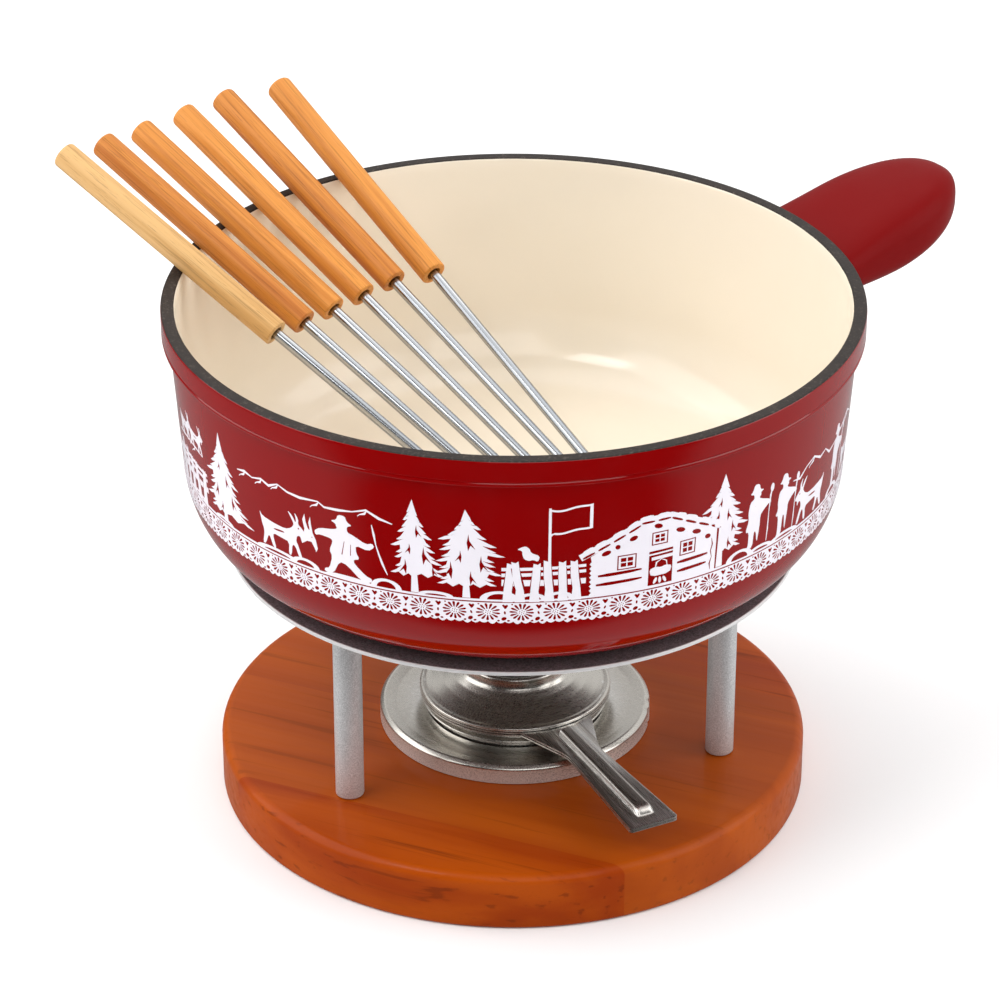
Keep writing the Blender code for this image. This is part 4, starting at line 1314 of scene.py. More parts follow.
def gauze():
    """A woven disc: wires both ways that pass over and under each other, in a folded hem."""
    low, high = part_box("gauze_disc")
    middle = (low.z + high.z) / 2
    swing = WIRE_R * 1.02
    curve = bpy.data.curves.new("gauze_weave", "CURVE")
    curve.dimensions = "3D"
    curve.bevel_depth = WIRE_R
    curve.bevel_resolution = 1
    count = int((GAUZE_R - 0.0008) / WIRE_PITCH)
    for lengthwise in (False, True):
        for i in range(-count, count + 1):
            offset = i * WIRE_PITCH
            half = math.sqrt((GAUZE_R - 0.0004) ** 2 - offset**2)
            stops = int(half / (WIRE_PITCH / 2))
            spline = curve.splines.new("POLY")
            spline.points.add(2 * stops)
            for k, point in enumerate(spline.points):
                along = (k - stops) * WIRE_PITCH / 2
                phase = math.pi * (along / WIRE_PITCH + i + (0 if lengthwise else 1))
                x, y = (along, offset) if lengthwise else (offset, along)
                lift = middle + swing * math.cos(phase)
                point.co = (BURNER_AT.x + x, BURNER_AT.y + y, lift, 1)
    mesh = evaluated(add_object("gauze_weave", curve))
    mesh.shade_smooth()
    wire = gauze_wire()
    place("gauze_weave", mesh, [wire], "burner", "wire_gauze", "gauze_disc")
    section = ellipse(GAUZE_R - 0.0005, middle, GAUZE_HEM, (high.z - low.z) / 2, 0, 345, 15)
    hem = turned("gauze_hem", section[::-1], 160, BURNER_AT.xy, closed=True)
    place("gauze_hem", hem, [wire], "burner", "wire_gauze")


def lever_outline():
    """The disc with one arm along +X that both plates share, with its corners rounded."""
    count = 120
    start = LEVER_ROOT_SPREAD
    disc = []
    for i in range(count + 1):
        angle = start + (math.tau - 2 * start) * i / count
        disc.append((*around(PLATE_R, angle).xy, 0.0))
    arm = [
        (LEVER_SHOULDER, -LEVER_SHOULDER_HALF, 0.010),
        (LEVER_NECK, -LEVER_NECK_HALF, 0.016),
        (LEVER_TIP, -LEVER_TIP_HALF, 0.0015),
    ]
    corners = disc + arm + [(x, -y, round_off) for x, y, round_off in reversed(arm)]
    return rounded(corners, closed=True, steps=6)


def window_loops():
    """The draught windows and the rivet's hole in each plate."""
    count = 24
    loops = []
    for k in range(WINDOW_COUNT):
        first = math.tau * k / WINDOW_COUNT - WINDOW_SPAN / 2
        angles = [first + WINDOW_SPAN * i / count for i in range(count + 1)]
        loop = [(*around(WINDOW_R[1], angle).xy, 0.0) for angle in angles]
        loop += [(*around(WINDOW_R[0], angle).xy, 0.0) for angle in reversed(angles)]
        for corner in (0, count, count + 1, 2 * count + 1):
            loop[corner] = (*loop[corner][:2], WINDOW_ROUND)
        loops.append(rounded(loop, closed=True))
    hole = [tuple(around(RIVET_R + 0.0003, math.tau * i / 32).xy) for i in range(32)]
    return loops + [hole]


def lever_matrix():
    """The lever's frame at rest: X along the lever, from the burner's axis."""
    return upright(BURNER_AT.xy) @ Matrix.Rotation(LEVER_ANGLE, 4, "Z")


def rib_mesh(name, grow, start, end, bottom, top, round_off):
    """A long pressed rib with sloping, rounded sides, which widens a little towards its end."""
    stations, count = 40, 24
    ramp_from = 1 - RIB_RAMP / (end - start)
    shape = bmesh.new()
    rings = []
    for i in range(stations + 1):
        share = i / stations
        x = start + (end - start) * share
        fall = max(0, (share - ramp_from) / (1 - ramp_from))
        crown = bottom + (top - bottom) * math.sqrt(max(0.02, 1 - fall**2.4))
        half = RIB_HALVES[0] * (1 - share) + RIB_HALVES[1] * share + grow
        half *= 1 - 0.10 * fall**3
        ring = []
        for k in range(count + 1):
            t = k / count * 2 - 1
            rise = (1 - abs(t) ** 5) ** 0.75
            spread = math.copysign(min(1, abs(t) * 1.02) ** 0.9, t)
            ring.append(shape.verts.new((x, spread * half, bottom + (crown - bottom) * rise)))
        ring.append(shape.verts.new((x, half, bottom - round_off)))
        ring.append(shape.verts.new((x, -half, bottom - round_off)))
        rings.append(ring)
    skin(shape, rings)
    shape.faces.new(rings[0])
    shape.faces.new(rings[-1][::-1])
    bmesh.ops.recalc_face_normals(shape, faces=shape.faces)
    return mesh_from(shape, name)


def plate_mesh(name, underside):
    """A flat plate with the lever's arm and the draught windows."""
    mesh = flat_mesh(name, [lever_outline()] + window_loops(), SHEET, PLATE_BEVEL)
    mesh.transform(Matrix.Translation((0, 0, underside + SHEET / 2)))
    return mesh


def plates(steel):
    """The fixed damper plate, and the regulator plate with its ribbed lever that turns on it."""
    damper = plate_mesh("damper_sheet", DAMPER_Z)
    smooth(damper)
    damper.transform(lever_matrix())
    place("damper_sheet", damper, [steel], "burner", "stainless", "damper_plate")
    top = REGULATOR_Z + SHEET
    crown = top + RIB_H
    rib = rib_mesh("rib", 0, RIB_FROM, RIB_TO, top, crown, 0.0003)
    hollow = (RIB_FROM - GROOVE_FROM, RIB_TO - GROOVE_TO, REGULATOR_Z, crown - SHEET)
    groove = rib_mesh("groove", -SHEET, *hollow, 0.002)
    regulator = plate_mesh("regulator_sheet", REGULATOR_Z)
    regulator = combined(regulator, joined=[rib], cut=[groove])
    smooth(regulator, 42)
    regulator.transform(lever_matrix())
    place("regulator_sheet", regulator, [steel], "regulator", "stainless", "regulator_plate")


def rivet(steel):
    low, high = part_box("pivot_rivet")
    under = DAMPER_Z - 0.0003
    profile = [(0, high.z)]
    profile += ellipse(0, BELL_FOOT, RIVET_HEAD_R, high.z - BELL_FOOT, 80, 0, 6)
    profile += [(RIVET_R, BELL_FOOT), (RIVET_R, under)]
    profile += rounded([
        (RIVET_R, under, 0),
        (RIVET_HEAD_R, under, 0.0002),
        (RIVET_HEAD_R, low.z, 0.0004),
        (0, low.z, 0),
    ])[1:]
    mesh = turned("plate_rivet", profile, 48, BURNER_AT.xy)
    place("plate_rivet", mesh, [steel], "burner", "stainless", "pivot_rivet")


def bell(steel):
    """The trumpet cover, from the rolled lip of its flame opening to its rolled rim."""
    line = [(r, BELL_TOP - drop, round_off) for r, drop, round_off in BELL_LINE]
    outline = rounded(line + [(BELL_RIM_R, BELL_FOOT, 0)], steps=6)
    mesh = turned("bell_shell", sheet(outline, SHEET), 224, BURNER_AT.xy, closed=True)
    place("bell_shell", mesh, [steel], "regulator", "stainless", "bell_cover")


def burner():
    tray_steel = brushed_steel("tray_steel", math.radians(63))
    burner_steel = brushed_steel("burner_steel", math.radians(8))
    plate_steel = brushed_steel("plate_steel", -LEVER_ANGLE, (0.50, 0.465, 0.43))
    # The tray's outer side: a lighter, less metallic copy of the steel, as a painted reflection.
    painted_reflection_steel = brushed_steel("tray_side_steel", 0, (0.66, 0.60, 0.54), 0.45)
    burner_tray(tray_steel, painted_reflection_steel)
    burner_cup(burner_steel)
    fuel_pad()
    gauze()
    plates(plate_steel)
    rivet(plate_steel)
    bell(burner_steel)


# Frieze. Each motif is a list of layers, (INK or BARE, outline), painted in order, in
# millimetres: x along the wall to the right, y up from the border's top line.

INK, BARE = True, False
CORNER_CUT = 0.22  # how far along each side a rounded outline is cut
STROKE_END = 0.35  # thickness of a brushed stroke's ends, and of its middle
STROKE_MIDDLE = 0.75
STROKE_SWING = 0.35


def shift(layers, x, y=0.0, scale=1.0, flip=False):
    """A motif moved, scaled and maybe mirrored."""
    side = -scale if flip else scale
    return [(ink, [(x + side * px, y + scale * py) for px, py in loop]) for ink, loop in layers]


def soft(points):
    """The outline with its corners cut, which rounds it."""
    cut = []
    for (ax, ay), (bx, by) in zip(points, points[1:] + points[:1]):
        for near, far in ((1 - CORNER_CUT, CORNER_CUT), (CORNER_CUT, 1 - CORNER_CUT)):
            cut.append((ax * near + bx * far, ay * near + by * far))
    return cut


def moved(loop, x, y, turn):
    """An outline drawn about the origin, turned and then set down at (x, y)."""
    cos, sin = math.cos(turn), math.sin(turn)
    return [(x + px * cos - py * sin, y + px * sin + py * cos) for px, py in loop]


def blob(x, y, wide, high, turn=0.0, count=12):
    angles = [math.tau * i / count for i in range(count)]
    oval_loop = [(wide * math.cos(angle), high * math.sin(angle)) for angle in angles]
    return moved(oval_loop, x, y, turn)


def bar(x0, y0, x1, y1, thick, thick_end=None):
    """A straight stroke, which may taper."""
    run = Vector((x1 - x0, y1 - y0)).normalized()
    side = Vector((-run.y, run.x))
    start = side * thick / 2
    end = side * (thick if thick_end is None else thick_end) / 2
    return [
        (x0 + start.x, y0 + start.y),
        (x0 - start.x, y0 - start.y),
        (x1 - end.x, y1 - end.y),
        (x1 + end.x, y1 + end.y),
    ]


def ribbon(points, thick):
    """A stroke through points, thinner at its two ends."""
    left, right = [], []
    last = len(points) - 1
    for i, (x, y) in enumerate(points):
        before = Vector(points[max(i - 1, 0)])
        after = Vector(points[min(i + 1, last)])
        run = (after - before).normalized()
        swing = STROKE_MIDDLE + STROKE_SWING * math.sin(i * 2.1)
        own = thick * (STROKE_END if i in (0, last) else swing)
        left.append((x - run.y * own / 2, y + run.x * own / 2))
        right.append((x + run.y * own / 2, y - run.x * own / 2))
    return left + right[::-1]


def fir(x, peak, base, left, right, cuts=()):
    """A papercut fir, from the reach of each long bough and how far its tip is below the peak.
    A shorter bough grows between each two. Each cut is a bare wedge with two prongs: its offset
    from the trunk, its drop and its length."""

    def side(boughs, sign):
        tips = []
        for (reach_out, drop), (next_reach, next_drop) in zip(boughs, boughs[1:]):
            between = (reach_out * 0.35 + next_reach * 0.50, drop * 0.45 + next_drop * 0.55)
            tips += [(reach_out, drop), between]
        tips.append(boughs[-1])
        points = []
        for i, (reach_out, drop) in enumerate(tips):
            level = peak - drop
            notch = 0.46 + 0.22 * i / len(tips)
            points.append((x + sign * reach_out * 0.74, level + 1.35))
            points.append((x + sign * reach_out, level))
            points.append((x + sign * reach_out * 0.80, level - 0.05))
            points.append((x + sign * reach_out * notch, level + 0.55))
        last_reach, last_drop = tips[-1]
        points.append((x + sign * last_reach * 0.45, peak - last_drop - 0.8))
        points.append((x + sign * last_reach * 0.24, peak - last_drop + 0.5))
        points.append((x + sign * 1.0, peak - last_drop - 0.3))
        return points

    outline = [(x, peak)] + side(right, 1) + [(x + 1.3, base), (x - 1.3, base)]
    outline += side(left, -1)[::-1]
    layers = [(INK, outline)]
    for aside, drop, long in cuts:
        lean = math.copysign(0.45, aside)
        wedge = [(0, 0.5), (0.10 * lean, 0.12), (lean, -0.42), (0.28 * lean, -0.18)]
        wedge += [(-0.10 * lean, -0.50), (-0.26 * lean, -0.02)]
        loop = [(x + aside + px * long * 0.8, peak - drop + py * long) for px, py in wedge]
        layers.append((BARE, loop))
    return layers


def some_fir(x, height, half, seed):
    """A fir whose boughs grow towards the ground, for the parts of the frieze out of view."""
    draw = random.Random(seed)
    sides = []
    for _ in range(2):
        boughs = []
        for i in range(1, 7):
            drop = 4 + (height - 9) * (i / 6 + draw.uniform(-0.03, 0.03))
            boughs.append((half * (i / 6) ** 0.7 * draw.uniform(0.8, 1.1), drop))
        sides.append(boughs)
    cuts = [(-1.4, height * 0.5, 4.4), (1.6, height * 0.65, 5.0)]
    return fir(x, height, 0.6, sides[0], sides[1], cuts)


def goat():
    body = [
        (-8.4, 10.4), (-7.4, 8.9), (-3, 8.3), (1.5, 8.1), (3.8, 9.2), (5.0, 10.8), (4.1, 12.6),
        (2.9, 14.6), (4.6, 13.4), (5.6, 11.4), (5.9, 12.6), (5.4, 14.9), (6.7, 12.9), (6.5, 11.2),
        (7.6, 10.4), (8.9, 9.0), (8.4, 8.2), (7.7, 8.2), (7.5, 6.2), (6.8, 7.7), (5.7, 7.2),
        (5.3, 5.4), (5.9, 4.4), (7.2, 0.2), (6.1, 0.2), (4.9, 3.7), (3.8, 3.9), (3.2, 0.2),
        (2.2, 0.2), (2.7, 4.3), (0, 4.6), (-3.3, 4.9), (-3.5, 3.4), (-2.6, 0.2), (-3.7, 0.2),
        (-4.8, 3.2), (-5.4, 3.6), (-6.9, 0.2), (-7.9, 0.2), (-6.9, 4.5), (-7.7, 6.6), (-8.0, 8.2),
    ]
    return [
        (INK, soft(body)),
        (BARE, blob(6.5, 9.9, 0.28, 0.28)),
        (BARE, blob(-1, 6.6, 2.2, 0.32, 0.08)),
    ]


def goat_head():
    """A second goat's horned head, low and turned forward, with its neck behind the first."""
    loop = [
        (-3.4, 8.6), (-1.8, 10.6), (-1.4, 12.6), (-2.0, 16.0), (-1.0, 18.4), (-0.7, 15.6),
        (0.0, 13.2), (0.8, 12.6), (0.5, 15.6), (1.3, 18.0), (1.5, 14.6), (1.9, 12.0), (3.0, 9.6),
        (3.6, 6.4), (2.9, 5.0), (2.2, 6.6), (1.2, 8.4), (-0.6, 8.2), (-2.8, 6.6),
    ]
    return [(INK, loop), (BARE, blob(1.5, 10.2, 0.25, 0.25, 0, 6))]


def herder():
    """A figure in a wide smock with spread arms, one hand on a long stick."""
    body = [
        (-3.7, 18.9), (-1.7, 19.6), (-1.0, 21.6), (1.4, 21.7), (2.0, 19.8), (3.7, 18.8),
        (1.9, 18.1), (1.9, 16.1), (3.9, 15.5), (8.1, 13.4), (10.2, 14.2), (10.9, 12.9),
        (8.8, 11.2), (4.6, 12.2), (4.6, 9.6), (5.7, 7.4), (3.6, 6.8), (3.8, 5.4), (7.6, 1.9),
        (9.6, 1.3), (9.3, -0.2), (5.9, -0.2), (1.2, 4.3), (-1.4, 4.8), (-3.9, -0.2), (-7.1, -0.2),
        (-6.9, 1.0), (-5.2, 1.5), (-3.9, 6.0), (-4.8, 8.0), (-3.4, 11.4), (-4.0, 12.4),
        (-8.0, 12.6), (-9.6, 11.9), (-10.0, 13.4), (-8.0, 14.9), (-2.9, 15.9), (-1.5, 16.6),
        (-1.9, 17.4), (-2.0, 18.2),
    ]
    bend = [(10.3, 20.8), (10.9, 17.5), (11.4, 14.0), (12.2, 11.0), (13.3, 7.6), (14.8, 4.0)]
    return [
        (INK, soft(body)),
        (INK, ribbon(bend, 0.7)),
        (BARE, bar(-0.4, 7.6, 0.7, 12.6, 0.35, 0.2)),
        (BARE, bar(2.6, 8.0, 2.9, 12.0, 0.3, 0.2)),
    ]


def walker(hem):
    """A standing figure in a long coat, with a staff that has a knob."""
    body = [
        (-2.6, 19.4), (-0.9, 19.9), (-0.3, 22.0), (1.6, 22.3), (2.3, 20.0), (3.3, 19.3),
        (1.6, 18.7), (1.4, 17.2), (3.0, 16.4), (3.5, 12.8), (3.0, 10.0), (4.1, hem),
        (2.6, hem - 0.3), (2.4, 1.2), (3.2, -0.2), (0.5, -0.2), (0.4, hem - 1.0),
        (-0.5, hem - 1.0), (-1.2, 1.2), (-3.2, 0.6), (-3.0, -0.2), (-0.7, -0.2), (-1.3, 0.4),
        (-2.0, hem), (-1.9, 10.4), (-3.2, 11.8), (-5.4, 13.4), (-6.4, 13.2), (-6.2, 14.4),
        (-4.6, 15.2), (-2.0, 16.2), (-0.7, 17.0), (-1.5, 17.9), (-1.2, 18.8),
    ]
    staff = ribbon([(-6.6, 19.0), (-6.0, 16.0), (-5.8, 10.0), (-5.9, 4.0), (-5.7, -0.2)], 0.65)
    return [(INK, soft(body)), (INK, staff), (INK, blob(-6.5, 18.4, 0.8, 1.5))]


def cow():
    body = [
        (-9.6, 9.8), (-8.6, 10.2), (-2, 9.6), (3.2, 10.0), (5.0, 11.0), (5.0, 12.6), (5.9, 11.6),
        (6.9, 12.4), (6.9, 11.1), (8.4, 9.6), (9.4, 8.2), (8.8, 7.2), (7.0, 7.8), (6.2, 6.6),
        (5.8, 4.4), (5.9, 0.2), (4.6, 0.2), (4.4, 4.0), (3.4, 4.2), (3.1, 0.2), (1.9, 0.2),
        (2.0, 4.8), (-1.6, 4.6), (-3.6, 3.6), (-4.6, 4.6), (-4.9, 0.2), (-6.1, 0.2), (-6.1, 4.2),
        (-7.2, 4.4), (-8.1, 0.2), (-9.2, 0.2), (-8.7, 5.4), (-9.3, 8.2), (-10.4, 4.6), (-10.9, 4.8),
    ]
    return [
        (INK, soft(body)),
        (BARE, blob(-4.4, 7.6, 1.3, 0.7, 0.3)),
        (BARE, blob(0.9, 7.4, 1.5, 0.8, -0.2)),
        (INK, [(6.0, 6.8), (5.4, 5.2), (7.0, 5.2), (6.6, 6.8)]),
    ]


def bird():
    body = [
        (-3.6, 4.0), (-2.0, 4.9), (-0.8, 5.2), (0.4, 4.3), (0.9, 2.6), (3.8, 1.4), (3.2, -0.8),
        (1.6, 0.0), (0.2, -0.4), (-1.3, 0.3), (-1.9, 2.0), (-1.9, 3.5),
    ]
    return [(INK, soft(body))]


def fence(start, end, seed):
    """Thick leaning posts, each between two bare hairlines, over three long rough rails."""
    draw = random.Random(seed)
    layers = []
    for level, thick, lean in ((12.4, 1.2, 0.4), (10.2, 1.3, 0.5), (7.3, 2.4, -0.4)):
        layers.append((INK, bar(start - 1.7, level, end + 3.2, level + lean, thick, thick * 0.85)))
    count = round((end - start) / 4.9)
    for i in range(count + 1):
        x = start + (end - start) * i / count + draw.uniform(-0.5, 0.5)
        tilt = draw.uniform(-1.6, 1.6)
        top = draw.uniform(13.6, 16.2)
        layers.append((BARE, bar(x, 5.2, x + tilt, top - 2.2, 3.3, 2.8)))
        post = [(x - 1.7, -0.2), (x - 1.3, 4.5), (x + tilt * 0.6 - 1.4, 9.0), (x + tilt - 1.2, top)]
        post += [(x + tilt + 0.2, top - 0.5), (x + tilt + 1.1, top + 0.2)]
        post += [(x + tilt * 0.6 + 1.3, 8.4), (x + 1.3, 4.0), (x + 1.7, -0.2)]
        layers.append((INK, post))
    return layers


def box_loop(x, y, half_wide, half_high):
    return [
        (x - half_wide, y - half_high),
        (x + half_wide, y - half_high),
        (x + half_wide, y + half_high),
        (x - half_wide, y + half_high),
    ]


def window(x, y, half_wide, half_high):
    """A chalet's window: a bare hairline, a printed frame and four bare panes."""
    layers = [
        (BARE, box_loop(x, y, half_wide, half_high)),
        (INK, box_loop(x, y, half_wide - 0.45, half_high - 0.45)),
    ]
    pane_wide = (half_wide - 1.4) / 2
    pane_high = (half_high - 1.3) / 2
    for side in (-1, 1):
        for rise in (-1, 1):
            middle = (x + side * (pane_wide + 0.2), y + rise * (pane_high + 0.2))
            layers.append((BARE, box_loop(*middle, pane_wide, pane_high)))
    return layers


def along_roof(start, end, seed):
    """Flat stones along the upper side of a roof's edge and bare dashes within it."""
    draw = random.Random(seed)
    run = Vector(end) - Vector(start)
    turn = math.atan2(run.y, run.x)
    up = Vector((-run.y, run.x)).normalized()
    steps = max(2, round(run.length / 5.2))
    layers = []
    for i in range(steps):
        stone = Vector(start) + run * ((i + draw.uniform(0.35, 0.65)) / steps) + up * 1.0
        tilt = turn + draw.uniform(-0.12, 0.12)
        slab = box_loop(0, 0, draw.uniform(1.7, 2.5), 0.75)
        layers.append((INK, soft(moved(slab, stone.x, stone.y, tilt))))
        ends = [Vector(start) + run * ((i + part) / steps) - up * 0.75 for part in (0.10, 0.88)]
        layers.append((BARE, soft(bar(*ends[0], *ends[1], 0.95, 0.8))))
    return layers


def chalet():
    """A log house with a shingle roof held down by stones, a hanging pot and small windows."""
    walls = [(24.9, 0.2)]
    for i in range(8):
        walls += [(24.3, 1.0 + 1.7 * i), (25.0, 1.8 + 1.7 * i)]
    walls += [(24.6, 15.6), (41, 25.6), (52, 26.0), (70.0, 17.0), (70.0, 0.2)]
    layers = [(INK, walls)]
    edges = [((21.2, 15.6), (41.4, 26.0)), ((41.0, 26.4), (52.4, 26.6))]
    edges.append(((52.0, 26.6), (72.6, 16.8)))
    for first, last in edges:
        layers.append((INK, bar(*first, *last, 2.6)))
    for seed, (first, last) in enumerate(edges):
        layers += along_roof(first, last, seed)
    for x, y in ((70.4, 17.6), (72.8, 17.0), (74.8, 15.8), (72.6, 15.4)):
        layers.append((INK, blob(x, y, 1.5, 1.15, -0.4, 10)))
    holes = [(29.8, 16.4, 1.7), (38.9, 20.6, 1.5), (47.4, 23.6, 1.6), (55.6, 20.2, 1.8)]
    holes += [(61.8, 17.8, 1.8), (66.4, 14.6, 1.2), (33.6, 18.2, 0.9)]
    for x, y, wide in holes:
        slope = 0.35 if x < 47 else -0.3
        layers.append((BARE, blob(x, y, wide, 0.95, slope, 10)))
    layers += window(36.9, 12.0, 3.3, 2.8)
    layers += window(48.2, 18.9, 2.9, 2.5)
    layers += window(58.7, 12.8, 3.0, 2.9)
    bail = [(47.0, 7.2), (47.4, 9.6), (49.2, 10.6), (51.0, 9.6), (51.4, 7.2)]
    kettle = [(44.9, 7.2), (47.2, 8.0), (49.0, 7.4), (50.9, 8.0), (53.1, 7.3), (52.4, 4.6)]
    kettle.append((45.6, 4.4))
    layers += [
        (BARE, [(44.6, 0.4), (44.6, 14.2), (53.2, 14.4), (53.4, 0.4)]),
        (INK, bar(44.4, 12.9, 53.4, 13.2, 0.6)),
        (INK, bar(45.6, 11.2, 53.4, 11.5, 1.2)),
        (INK, ribbon(bail, 0.55)),
        (INK, soft(kettle)),
    ]
    for x in (47.2, 48.9, 50.6):
        layers.append((INK, blob(x, 2.6, 0.55, 1.3, 0.25 * (x - 48.9), 8)))
    layers.append((INK, bar(44.4, 0.6, 53.6, 0.6, 0.8)))
    logs = [(27.2, 42.2, 7.9), (26.6, 42.4, 4.5), (55.0, 66.8, 7.6), (55.2, 66.4, 4.2)]
    for first, last, y in logs:
        layers.append((BARE, soft(bar(first, y, last, y + 0.4, 1.35, 1.1))))
    seam = [(68.2, 1.2), (67.8, 3.6), (68.5, 6.0), (67.9, 8.4), (68.5, 10.8), (68.0, 13.4)]
    layers.append((BARE, ribbon(seam, 0.55)))
    return layers


def flag():
    """A pole with a plain flag that waves, its lower corner curled back to the pole."""
    layers = [(INK, bar(0, 14.0, 0, 35.4, 0.95, 0.8))]

    def wave(x, level):
        return level - 0.5 * math.sin(x / 12.0 * math.tau) + 1.6 * (x / 13.8) ** 4

    steps = [1.15 * i for i in range(13)]
    upper = [(x, wave(x, 35.0)) for x in steps]
    lower = [(x, wave(x, 25.7)) for x in reversed(steps)]
    layers.append((INK, [(-0.45, 34.4)] + upper + lower[:-1] + [(0.4, 24.6), (-0.45, 24.0)]))
    inner_steps = [0.45 + 1.12 * i for i in range(12)]
    upper = [(x, wave(x, 34.3)) for x in inner_steps]
    lower = [(x, wave(x, 26.4)) for x in reversed(inner_steps)]
    layers.append((BARE, upper + lower[:-1] + [(0.45, 25.6)]))
    return layers


def ridge(points, thick=0.95):
    """A mountain outline with short spurs below its peaks."""
    layers = [(INK, ribbon(points, thick))]
    for i, (x, y) in enumerate(points[1:-1], 1):
        if y > points[i - 1][1] and y >= points[i + 1][1]:
            spur = [(x + 0.4, y), (x - 0.6, y - 1.5), (x - 2.4, y - 2.2), (x - 3.2, y - 3.0)]
            layers.append((INK, ribbon(spur, thick * 0.8)))
    return layers


def ground(start, end, hills):
    """A narrow strip of ground with low hills, each its middle, half width and height, and a bare
    half moon under every hill that is tall enough for one."""
    layers = [(INK, [(start, 0.0), (end, 0.0), (end, 0.8), (start, 0.8)])]
    for x, wide, high in hills:
        arch = [(x - wide, 0.2), (x + wide, 0.2)]
        for i in range(13):
            angle = math.pi * i / 12
            arch.append((x + wide * math.cos(angle), 0.6 + (high - 0.6) * math.sin(angle)))
        layers.append((INK, arch))
        if high > 2.0:
            hollow = []
            for i in range(11):
                angle = math.pi * i / 10
                up = 0.7 + (high - 1.7) * math.sin(angle)
                hollow.append((x + wide * 0.62 * math.cos(angle), up))
            layers.append((BARE, hollow))
    return layers


def some_hills(start, end, seed):
    """Ground with hills at random, for the parts of the frieze out of view."""
    draw = random.Random(seed)
    hills = []
    x = start + 8
    while x < end - 8:
        hills.append((x, draw.uniform(5, 8), draw.uniform(1.6, 3.4)))
        x += draw.uniform(13, 19)
    return ground(start, end, hills)


DAISY_COUNT = 66
DAISY_PITCH = FRIEZE_R * math.tau / DAISY_COUNT
DAISY_FLAT = 0.84
DAISY_LEVEL = -4.1
LACE_HEAD = -0.5
LACE_FOOT = -7.8
LACE_TILE_FLOWERS = 6
LACE_SHIFT = -3.2
HEM_SCALLOPS = 4  # to each daisy
HEM_DEPTHS = (0.7, 1.15, 0.85)
HEART = [(-1.0, 0.5), (-0.4, 0.8), (0.1, 0.4), (0.7, 0.8), (1.1, 0.3), (0.5, -0.7), (0, -1.0)]
PETAL = ((1.45, 0.16), (2.4, 0.32), (3.3, 0.46), (3.85, 0.36), (4.1, 0.0))


def daisy(x, y, turn, petals):
    """A ring of bare teardrop petals round small bare dots, at a point of the lace border."""
    layers = []
    for k in range(petals):
        angle = turn + math.tau * k / petals
        along = Vector((math.cos(angle), math.sin(angle)))
        across = Vector((-along.y, along.x))
        loop = [along * r + across * half for r, half in PETAL]
        loop += [along * r - across * half for r, half in reversed(PETAL[:-1])]
        layers.append((BARE, [(x + p.x, y + p.y * DAISY_FLAT) for p in loop]))
    layers.append((BARE, blob(x, y, 0.2, 0.2, 0, 6)))
    for k in range(6):
        angle = turn + math.tau * k / 6
        dot = (x + 0.82 * math.cos(angle), y + 0.82 * DAISY_FLAT * math.sin(angle))
        layers.append((BARE, blob(*dot, 0.23, 0.2, angle, 6)))
    return layers


def lace_tile():
    """Some daisies of the border: an inked band with cut petals, drops and a scalloped hem."""
    draw = random.Random(5)
    width = DAISY_PITCH * LACE_TILE_FLOWERS
    hem = []
    scallops = LACE_TILE_FLOWERS * HEM_SCALLOPS
    for i in range(scallops):
        for k in range(4):
            share = k / 4
            drop = 0.95 * math.sin(math.pi * share) * HEM_DEPTHS[i % len(HEM_DEPTHS)]
            hem.append((width * (i + share) / scallops, LACE_FOOT - drop))
    band = [(0, LACE_HEAD), (0, LACE_FOOT)] + hem[1:] + [(width, LACE_FOOT), (width, LACE_HEAD)]
    layers = [(INK, band)]
    for i in range(LACE_TILE_FLOWERS):
        turn = draw.uniform(0, 0.4)
        layers += daisy(DAISY_PITCH * (i + 0.5), DAISY_LEVEL, turn, 14 if i % 2 else 13)
    leans = [draw.uniform(-0.4, 0.4) for _ in range(LACE_TILE_FLOWERS)]
    for i, lean in enumerate(leans + leans[:1]):
        x = DAISY_PITCH * i
        layers += shift([(BARE, HEART)], x, -1.9)
        layers += [
            (BARE, blob(x - 0.3, -6.7, 0.95, 0.75, lean + 0.4, 9)),
            (BARE, blob(x + 1.2, -7.5, 0.55, 0.4, lean, 7)),
            (BARE, blob(x, -4.3, 0.36, 0.7, lean, 7)),
            (BARE, blob(x - 2.1, -7.5, 0.5, 0.4, 0.4, 7)),
            (BARE, blob(x + 2.4, -1.1, 0.35, 0.3, 0.0, 6)),
        ]
    return layers, width


def turn_of(loop):
    """Twice the outline's area, above zero when it runs anticlockwise."""
    return sum(ax * by - bx * ay for (ax, ay), (bx, by) in zip(loop, loop[1:] + loop[:1]))


def inked(layers, start, end):
    """Flat triangles of what stays printed: each takes the last layer that covers it. Rules
    every few millimetres split them, so that they bend smoothly round the wall."""
    points, edges, faces = [], [], []
    for _, loop in layers:
        first = len(points)
        points += [Vector(p) for p in (loop if turn_of(loop) > 0 else loop[::-1])]
        faces.append(list(range(first, len(points))))
    levels = [y for _, loop in layers for _, y in loop]
    low, high = min(levels) - 1, max(levels) + 1
    rules = []
    for i in range(1, int((end - start) / GRID)):
        rules.append(((start + i * GRID, low), (start + i * GRID, high)))
    level = math.floor(low) + 0.37
    while level < high:
        rules.append(((start - 1, level), (end + 1, level)))
        level += GRID
    for rule in rules:
        edges.append((len(points), len(points) + 1))
        points += map(Vector, rule)
    made = geometry.delaunay_2d_cdt(points, edges, faces, 1, 1e-5)
    vertices, _, triangles, _, _, sources = made
    drawn = zip(triangles, sources)
    return vertices, [face for face, covers in drawn if covers and layers[max(covers)][0]]


